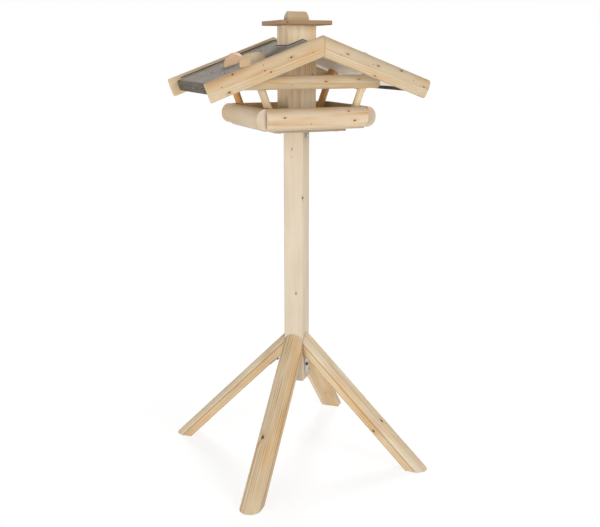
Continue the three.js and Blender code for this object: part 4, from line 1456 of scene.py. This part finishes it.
punches = put(strap_tree, "GeometryNodeRealizeInstances", [("Geometry", set_out.outputs[0])])
holed = put(strap_tree, "GeometryNodeMeshBoolean", operation="DIFFERENCE", solver="EXACT")
strap_tree.links.new(closed.outputs[0], holed.inputs["Mesh 1"])
strap_tree.links.new(punches.outputs[0], holed.inputs["Mesh 2"])
give_painted(strap_tree, holed.outputs["Mesh"], taken, given)
print("strap tree:", len(strap_tree.nodes), "nodes")

# %% [markdown]
# ## Where the straps and angles run
# Each bent strip is drawn as a line of points in its own upright plane, with the bend as a short
# arc, and then given its width. Holes start at a margin from each free end and go on, a pitch
# apart, as far as the strip has room for them before its corner.

# %% Bent strips and their holes
HOLE_PITCH = 13 * MM
BEND_STEPS = 8
strip_points = []
strip_faces = []
hole_marks = []


def bent_line(start, corner, end, radius):
    """Points from start to end by way of a rounded corner."""
    first = (start - corner).normalized()
    second = (end - corner).normalized()
    half_angle = first.angle(second) / 2
    tangent = radius / math.tan(half_angle)
    centre = corner + (first + second).normalized() * (radius / math.sin(half_angle))
    entry = (corner + first * tangent - centre).normalized()
    leave = (corner + second * tangent - centre).normalized()
    bend = [centre + entry.slerp(leave, i / BEND_STEPS) * radius for i in range(BEND_STEPS + 1)]
    return [start, *bend, end]


def add_strip(line, side, width, inside):
    """Adds a strip of faces that look to the inside of the bend."""
    base = len(strip_points)
    for point in line:
        strip_points.append(point - side * width / 2)
        strip_points.append(point + side * width / 2)
    for i in range(len(line) - 1):
        a = base + 2 * i
        face = [a, a + 1, a + 3, a + 2]
        edge_one = strip_points[face[1]] - strip_points[face[0]]
        edge_two = strip_points[face[3]] - strip_points[face[0]]
        strip_faces.append(face if edge_one.cross(edge_two) @ inside > 0 else face[::-1])


def add_holes(end, corner, margin, axis, most):
    """Marks holes from a free end towards the corner."""
    way = (corner - end).normalized()
    room = (corner - end).length - margin
    for i in range(most):
        if margin + i * HOLE_PITCH <= room:
            hole_marks.append((end + way * (margin + i * HOLE_PITCH), axis))


print("a bend has", BEND_STEPS + 1, "points; holes are", round(HOLE_PITCH / MM), "mm apart")

# %% [markdown]
# ## Setting out the straps and the head angles
# The strap's back lies on the post and its top under the leg, both measured from the frame's
# solid. Its corner is where those two faces meet. The head angles are the same kind of strip with
# a square bend. All six go into one host mesh, and so they are bent, punched and made together.

# %% Straps and angles
STRAP_MARGIN = 9 * MM
STRAP_BEND = 3.2 * MM
ANGLE_BEND = 2.4 * MM
ANGLE_MARGIN = 7 * MM
for leg, quarter in LEGS.items():
    away, run, outward = leg_ways(quarter)
    side = UP.cross(away)
    name = leg + "_leg_strap"
    back_at = reach(name, away)[0]
    under_leg = reach(name, outward)[1]
    corner_height = (under_leg - back_at * math.sin(LEG_ANGLE)) / math.cos(LEG_ANGLE)
    corner = away * back_at + UP * corner_height
    post_end = away * back_at + UP * reach(name, UP)[0]
    leg_end = corner + run * (reach(name, run)[1] - corner @ run)
    inside = ((post_end - corner).normalized() + run).normalized()
    add_strip(bent_line(post_end, corner, leg_end, STRAP_BEND), side, thickness_of(name, side), inside)
    add_holes(post_end, corner, STRAP_MARGIN, away, most=5)
    add_holes(leg_end, corner, STRAP_MARGIN, outward, most=4)
for label, sign in (("right", 1), ("left", -1)):
    away = level_way(STAND_TURN) * sign
    side = UP.cross(away)
    name = label + "_head_angle"
    top = reach(name, UP)[1]
    back_at, front_at = reach(name, away)
    corner = away * back_at + UP * top
    low_end = away * back_at + UP * reach(name, UP)[0]
    far_point = away * front_at + UP * top
    add_strip(bent_line(low_end, corner, far_point, ANGLE_BEND), side, thickness_of(name, side), away - UP)
    add_holes(low_end, corner, ANGLE_MARGIN, away, most=1)
    add_holes(far_point, corner, ANGLE_MARGIN, UP, most=1)

strap_host = bpy.data.meshes.new("strap host")
strap_host.from_pydata(strip_points + [place for place, axis in hole_marks], [], strip_faces)
flags = strap_host.attributes.new("is_hole", "BOOLEAN", "POINT")
axes = strap_host.attributes.new("axis", "FLOAT_VECTOR", "POINT")
for i, (place, axis) in enumerate(hole_marks):
    flags.data[len(strip_points) + i].value = True
    axes.data[len(strip_points) + i].vector = axis
straps = grow(strap_host, strap_tree, {"Thickness": STRAP_GAUGE, "Hole": STRAP_HOLE, "Finish": zinc})
straps.shade_smooth()
straps.set_sharp_from_angle(angle=SHARP)
strap_nodes = [leg + "_leg_strap" for leg in LEGS] + ["right_head_angle", "left_head_angle"]
dress("perforated_straps", straps, zinc, strap_nodes)
print("straps and angles: 6, with", len(hole_marks), "holes,", len(straps.polygons), "faces")

# %% [markdown]
# ## Screws, pins and nails
# Every fixing of a kind is the same small object, so each kind is modelled once and set many
# times. A point for each place carries the direction in which the head looks. The tree turns
# the fixing to that direction, gives each one its own turn about its axis, as screws never stop
# at the same angle, and makes them real. The screws of the house and the lid are separate meshes,
# because the lid lifts off.

# %% The fixing tree
FULL_TURN = 6.3
fixing_tree, taken, given = new_tree(
    "Driven fixings", "GeometryNodeTree",
    [("Places", GEOMETRY), ("Fixing", OBJECT), ("Seed", WHOLE), ("Finish", MATERIAL)],
    [("Fixings", GEOMETRY)])
axis = named(fixing_tree, "axis", "FLOAT_VECTOR")
model = put(fixing_tree, "GeometryNodeObjectInfo", [("Object", taken["Fixing"])])
twist = put(fixing_tree, "FunctionNodeRandomValue", [("Seed", taken["Seed"])], data_type="FLOAT")
twist.inputs[3].default_value = FULL_TURN
about = put(fixing_tree, "FunctionNodeAxisAngleToRotation",
            [("Axis", (0, 0, 1)), ("Angle", twist.outputs[1])])
aim = put(fixing_tree, "FunctionNodeAlignRotationToVector", [("Vector", axis)], axis="Z")
turned_fixing = put(fixing_tree, "FunctionNodeRotateRotation",
                    [("Rotation", aim.outputs[0]), ("Rotate By", about.outputs[0])], rotation_space="LOCAL")
set_out = put(fixing_tree, "GeometryNodeInstanceOnPoints",
              [("Points", taken["Places"]), ("Instance", model.outputs["Geometry"]),
               ("Rotation", turned_fixing.outputs[0])])
give_painted(fixing_tree, set_out.outputs[0], taken, given)
print("fixing tree:", len(fixing_tree.nodes), "nodes")

# %% [markdown]
# ## The models of the fixings
# A lathe turns a profile into a round head and shank. The screw's thread is a row of small ridges
# that taper towards its point, since only its pitch can be seen. The pin and the clout nail need
# only their heads, because the rest is in the wood. Profiles are in millimetres.

# %% Screw, pin and clout nail
def lathe(profile, sides):
    """Turns a profile of (radius, height) round Z. Both ends of the profile lie on the axis."""
    solid = bmesh.new()
    rings = []
    angles = [2 * math.pi * i / sides for i in range(sides)]
    for radius, height in profile:
        if radius == 0:
            rings.append([solid.verts.new((0, 0, height * MM))] * sides)
            continue
        ring = [(radius * MM * math.cos(a), radius * MM * math.sin(a), height * MM) for a in angles]
        rings.append([solid.verts.new(point) for point in ring])
    for low, high in zip(rings, rings[1:]):
        for i in range(sides):
            j = (i + 1) % sides
            loop = []
            for v in (low[i], low[j], high[j], high[i]):
                if v not in loop:
                    loop.append(v)
            solid.faces.new(loop)
    bmesh.ops.recalc_face_normals(solid, faces=solid.faces)
    return solid


def model_object(title, solid):
    """An object to set many times, from a finished bmesh."""
    return add_object(title, to_mesh(solid, title))


HEAD_RADIUS = 4.0
HEAD_RISE = 2.6
HEAD_WALL = 0.9
THREAD_RADIUS = 2.0
CORE_RADIUS = 1.44
THREAD_PITCH = 1.2
THREADS = 11
FIRST_THREAD = -13.6
SCREW_TIP = [(0, -15), (0.48, -14.4)]
UNDER_HEAD = [(1.6, 0), (HEAD_RADIUS - 0.2, 0), (HEAD_RADIUS, 0.25), (HEAD_RADIUS, HEAD_WALL)]
DOME_ANGLES = (0.3, 0.6, 0.9, 1.2, 1.4)
PIN_PROFILE = [(0, -2), (0.7, -1.9), (1.1, -0.1), (1.25, 0.05), (1.1, 0.2), (0, 0.28)]
NAIL_PROFILE = [(0, -2), (1.2, -1.9), (1.2, 0.1), (3.4, 0.15), (3.6, 0.5), (3.2, 0.8), (0, 1.0)]
screw_profile = list(SCREW_TIP)
for i in range(THREADS):
    depth = FIRST_THREAD + i * THREAD_PITCH
    taper = min(1.0, 0.45 + 0.08 * i)
    screw_profile += [(CORE_RADIUS * taper, depth), (THREAD_RADIUS * taper, depth + 0.5),
                      (CORE_RADIUS * taper, depth + 0.9)]
screw_profile += UNDER_HEAD
screw_profile += [(HEAD_RADIUS * math.cos(a), HEAD_WALL + (HEAD_RISE - HEAD_WALL) * math.sin(a))
                  for a in DOME_ANGLES]
screw_profile.append((0, HEAD_RISE))
screw_model = model_object("screw model", lathe(screw_profile, 24))
pin_model = model_object("pin model", lathe(PIN_PROFILE, 12))
nail_model = model_object("nail model", lathe(NAIL_PROFILE, 14))
print("screw profile:", len(screw_profile), "points")

# %% [markdown]
# ## The cross recess
# The recess is cut with a cross of two bars, which are narrower at the bottom, as a driver's point
# is. A Boolean modifier takes them out of the head, and the result replaces the model's mesh.

# %% The recess
RECESS_LENGTH = 4.48 * MM
RECESS_WIDTH = 1.05 * MM
RECESS_HEIGHT = 3.2 * MM
RECESS_MIDDLE = (HEAD_RISE - 0.6) * MM
RECESS_TAPER = 0.35
cutter_solid = bmesh.new()
for quarter in range(2):
    bar = bmesh.ops.create_cube(cutter_solid, size=1.0)["verts"]
    for v in bar:
        narrow = 1.0 if v.co.z > 0 else RECESS_TAPER
        v.co = Vector((v.co.x * RECESS_LENGTH * narrow, v.co.y * RECESS_WIDTH * narrow,
                       RECESS_MIDDLE + v.co.z * RECESS_HEIGHT))
    quarter_turn = Matrix.Rotation(quarter * math.pi / 2, 3, "Z")
    bmesh.ops.rotate(cutter_solid, verts=bar, cent=(0, 0, 0), matrix=quarter_turn)
cutter = model_object("cutter", cutter_solid)
recess = screw_model.modifiers.new("recess", "BOOLEAN")
recess.operation = "DIFFERENCE"
recess.object = cutter
recess.use_self = True
cut_screw = bake(screw_model)
screw_model.modifiers.remove(recess)
screw_model.data = cut_screw
bpy.data.objects.remove(cutter)
print("screw model:", len(cut_screw.polygons), "faces")

# %% [markdown]
# ## Setting the fixings
# A screw's place and direction are found from its solid in the frame: its two farthest points
# are the tip of the shank and the top of the head. The screws of the straps are the ones painted dark as
# shade.

# %% Set the screws
def screw_seat(node):
    """Where a screw's head stands, and the direction in which it looks."""
    points = corners[node]
    centre = points.mean(axis=0)
    tip = points[np.argmax(np.linalg.norm(points - centre, axis=1))]
    top = points[np.argmax(np.linalg.norm(points - tip, axis=1))]
    axis = Vector(top - tip).normalized()
    return Vector(top) - axis * HEAD_RISE * MM, axis


def set_fixings(title, model, finish, seats, stands_for, seed, body="root"):
    """Sets a model on every seat, which is a place and the way that the head looks."""
    places = bpy.data.meshes.new("places")
    places.from_pydata([seat for seat, axis in seats], [], [])
    axes = places.attributes.new("axis", "FLOAT_VECTOR", "POINT")
    for i, (seat, axis) in enumerate(seats):
        axes.data[i].vector = axis
    made = grow(places, fixing_tree, {"Fixing": model, "Seed": seed, "Finish": finish})
    dress(title, made, finish, stands_for, body)


screw_nodes = sorted(name for name in nodes if name.endswith("screw") or name.startswith("plate_screw"))
leg_screws = [name for name in screw_nodes if "_strap_" in name]
house_screws = [name for name in screw_nodes if "_strap_" not in name and not name.startswith("lid_")]
set_fixings("leg_screws", screw_model, dark_as_shade, [screw_seat(n) for n in leg_screws], leg_screws, 7)
set_fixings("stand_screws", screw_model, zinc, [screw_seat(n) for n in house_screws], house_screws, 3)
set_fixings("lid_screw", screw_model, zinc, [screw_seat("lid_knob_screw")], ["lid_knob_screw"], 4, "lid")
print("screws:", len(screw_nodes), "of which", len(leg_screws), "dark_as_shade")

# %% [markdown]
# ## Pins and clout nails
# Pins go through the barge boards into the edge of the roof boards. Each is given by its distance
# down from the ridge and its height over the middle of the board, in millimetres. The board's face
# falls away from its middle as an ellipse does, so a pin that is off the middle sits deeper. A
# clout nail on each quarter of the roof holds the felt.

# %% Set the pins and nails
left_square = off_slope(-1)
barge_centre = sum(reach("front_left_barge", left_square)) / 2
barge_face = reach("front_left_barge", -ALONG)[1]
barge_half = thickness_of("front_left_barge", left_square) / 2
barge_round = thickness_of("front_left_barge", ALONG) - BARGE_FLANK
ridge_zero = -board_top * math.tan(ROOF_PITCH)
PIN_SUNK = 0.3 * MM
PIN_PLACES = {-1: [(34, -3.3), (152, 12.0), (256, 2.0)], 1: [(47, -4.3), (130, 4.3), (242, 5.3)]}
pins = []
for end in (-1, 1):
    for side, places in PIN_PLACES.items():
        for down, height in places:
            x, z = slope_point(ridge_zero + down * MM, barge_centre + height * MM)
            bulge = height * MM / barge_half
            depth = barge_round * (1 - math.sqrt(1 - bulge * bulge)) + PIN_SUNK
            pins.append((Vector((side * x, end * (barge_face - depth), z)), ALONG * end))
set_fixings("barge_pins", pin_model, wire, pins, [], 5)
NAIL_DOWN = 206 * MM
NAIL_ALONG = 49 * MM
nails = []
for side in (-1, 1):
    for end in (-1, 1):
        x, z = slope_point(ridge_zero + NAIL_DOWN, felt_top + RIPPLE)
        nails.append((Vector((side * x, end * NAIL_ALONG, z)), off_slope(side)))
set_fixings("felt_nails", nail_model, wire, nails, [], 6)
for model in (screw_model, pin_model, nail_model):
    bpy.data.objects.remove(model)
print("pins:", str(len(pins)) + "; clout nails:", len(nails))

# %% [markdown]
# ## Floor, background and light
# The table stands on a white floor in front of white. What the camera sees of the floor is plain
# white for one share and a lit surface for the rest. The lit share is larger near the table, where
# it keeps the table's soft shadow, and small far off, where the lamps don't reach. A faint glow of
# the floor lifts the undersides. The world is dimmer for the light that falls on the object than
# for the camera.

# %% Floor and world
WHITE = (1.0, 1.0, 1.0, 1.0)
FLOOR_TONE = (0.8, 0.8, 0.8, 1.0)
FLOOR_HALF = 30.0
FLOOR_GLOW = 0.24
PLAIN_LIGHT = 1.06
PLAIN_NEAR = 0.7
PLAIN_FAR = 0.94
SHADOW_NEAR = 0.7
SHADOW_FAR = 1.3
SKY_LIGHT = 0.22
floor_finish = bpy.data.materials.new("Studio floor")
floor_finish.use_nodes = True
tree = floor_finish.node_tree
tree.nodes.clear()
matt = put(tree, "ShaderNodeBsdfDiffuse", [("Color", FLOOR_TONE)])
glow = put(tree, "ShaderNodeEmission", [("Color", WHITE), ("Strength", FLOOR_GLOW)])
surface = put(tree, "ShaderNodeAddShader", [(0, matt.outputs[0]), (1, glow.outputs[0])])
plain = put(tree, "ShaderNodeEmission", [("Color", WHITE), ("Strength", PLAIN_LIGHT)])
rays = put(tree, "ShaderNodeLightPath")
where = put(tree, "ShaderNodeTexCoord").outputs["Object"]
away_from_table = vectors("LENGTH", where)
plain_share = between(away_from_table, SHADOW_NEAR, SHADOW_FAR, PLAIN_NEAR, PLAIN_FAR)
seen = sums("MULTIPLY", rays.outputs["Is Camera Ray"], plain_share)
mixed = put(tree, "ShaderNodeMixShader", [(0, seen), (1, surface.outputs[0]), (2, plain.outputs[0])])
put(tree, "ShaderNodeOutputMaterial", [("Surface", mixed.outputs[0])])
floor_mesh = bpy.data.meshes.new("floor")
floor_corners = [(x * FLOOR_HALF, y * FLOOR_HALF, 0) for x, y in ((-1, -1), (1, -1), (1, 1), (-1, 1))]
floor_mesh.from_pydata(floor_corners, [], [(0, 1, 2, 3)])
floor_mesh.materials.append(floor_finish)
floor = add_object("studio_floor", floor_mesh)
floor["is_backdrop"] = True

world = bpy.data.worlds.new("Soft studio")
bpy.context.scene.world = world
world.use_nodes = True
tree = world.node_tree
tree.nodes.clear()
rays = put(tree, "ShaderNodeLightPath")
shown = sums("MAXIMUM", rays.outputs["Is Camera Ray"], rays.outputs["Is Glossy Ray"])
shown = sums("MAXIMUM", shown, rays.outputs["Is Transmission Ray"])
strength = sums("MULTIPLY_ADD", shown, 1.0 - SKY_LIGHT, SKY_LIGHT)
sky = put(tree, "ShaderNodeBackground", [("Color", WHITE), ("Strength", strength)])
put(tree, "ShaderNodeOutputWorld", [("Surface", sky.outputs[0])])
print("floor:", round(2 * FLOOR_HALF), "m wide; sky:", world.name)

# %% [markdown]
# ## Lamps
# Six soft square lamps model the shapes, and all of them look at the middle of the table. The
# strongest stands low on the left, on the camera's side. The back one brightens the felt. Each
# lamp is its place in metres, its width in metres and its power in watts.

# %% Lamps
TABLE_MIDDLE = Vector((0.0, 0.0, 0.6))
LAMPS = {
    "Front right": ((1.2, -3.2, 0.9), 1.6, 23.0),
    "Front right, high": ((1.4, -3.0, 2.0), 1.6, 42.0),
    "Left, low": ((-3.0, -1.6, 0.3), 1.6, 88.0),
    "Left": ((-3.4, 0.2, 1.2), 1.6, 6.0),
    "Right": ((3.3, -0.8, 1.2), 1.6, 10.0),
    "Back": ((1.3, 2.0, 2.9), 1.2, 62.0),
}
for title, (place, width, power) in LAMPS.items():
    light = bpy.data.lights.new(title, "AREA")
    light.shape = "SQUARE"
    light.size = width
    light.energy = power
    lamp = add_object(title, light)
    lamp.location = place
    lamp.rotation_euler = (TABLE_MIDDLE - Vector(place)).to_track_quat("-Z", "Y").to_euler()
print("lamps:", ", ".join(LAMPS))

# %% [markdown]
# ## Camera
# The photograph was taken from a little to the left of the front gable, at about the height of
# the roof, looking slightly down. Its place, turn and lens were found by fitting known corners
# of the table to where they lie in the photograph.

# %% Camera
LOOK_DOWN = 11.8
LOOK_RIGHT = 22.84
camera_data = bpy.data.cameras.new("Photo camera")
camera_data.sensor_fit = "HORIZONTAL"
camera_data.sensor_width = 36.0
camera_data.lens = 51.08
camera_data.shift_y = -0.06
camera = add_object("Photo camera", camera_data)
camera.location = (-0.7911, -1.8999, 1.0205)
camera.rotation_euler = (math.radians(90 - LOOK_DOWN), 0.0, math.radians(-LOOK_RIGHT))
bpy.context.scene.camera = camera
bpy.context.scene.view_settings.view_transform = "Standard"
print("camera at", [round(c, 3) for c in camera.location])

# %% [markdown]
# ## Sizes of frame and dressed table
# The boxes of the frame and of the dressed table are printed side by side, in millimetres.
# The dressed table may not be larger than its frame, apart from a little ripple in the felt.

# %% Sizes and finish
dressed_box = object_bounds()
for label, (low, high) in (("frame", frame_box), ("dressed", dressed_box)):
    print(label, [round((b - a) / MM, 1) for a, b in zip(low, high)], "mm")
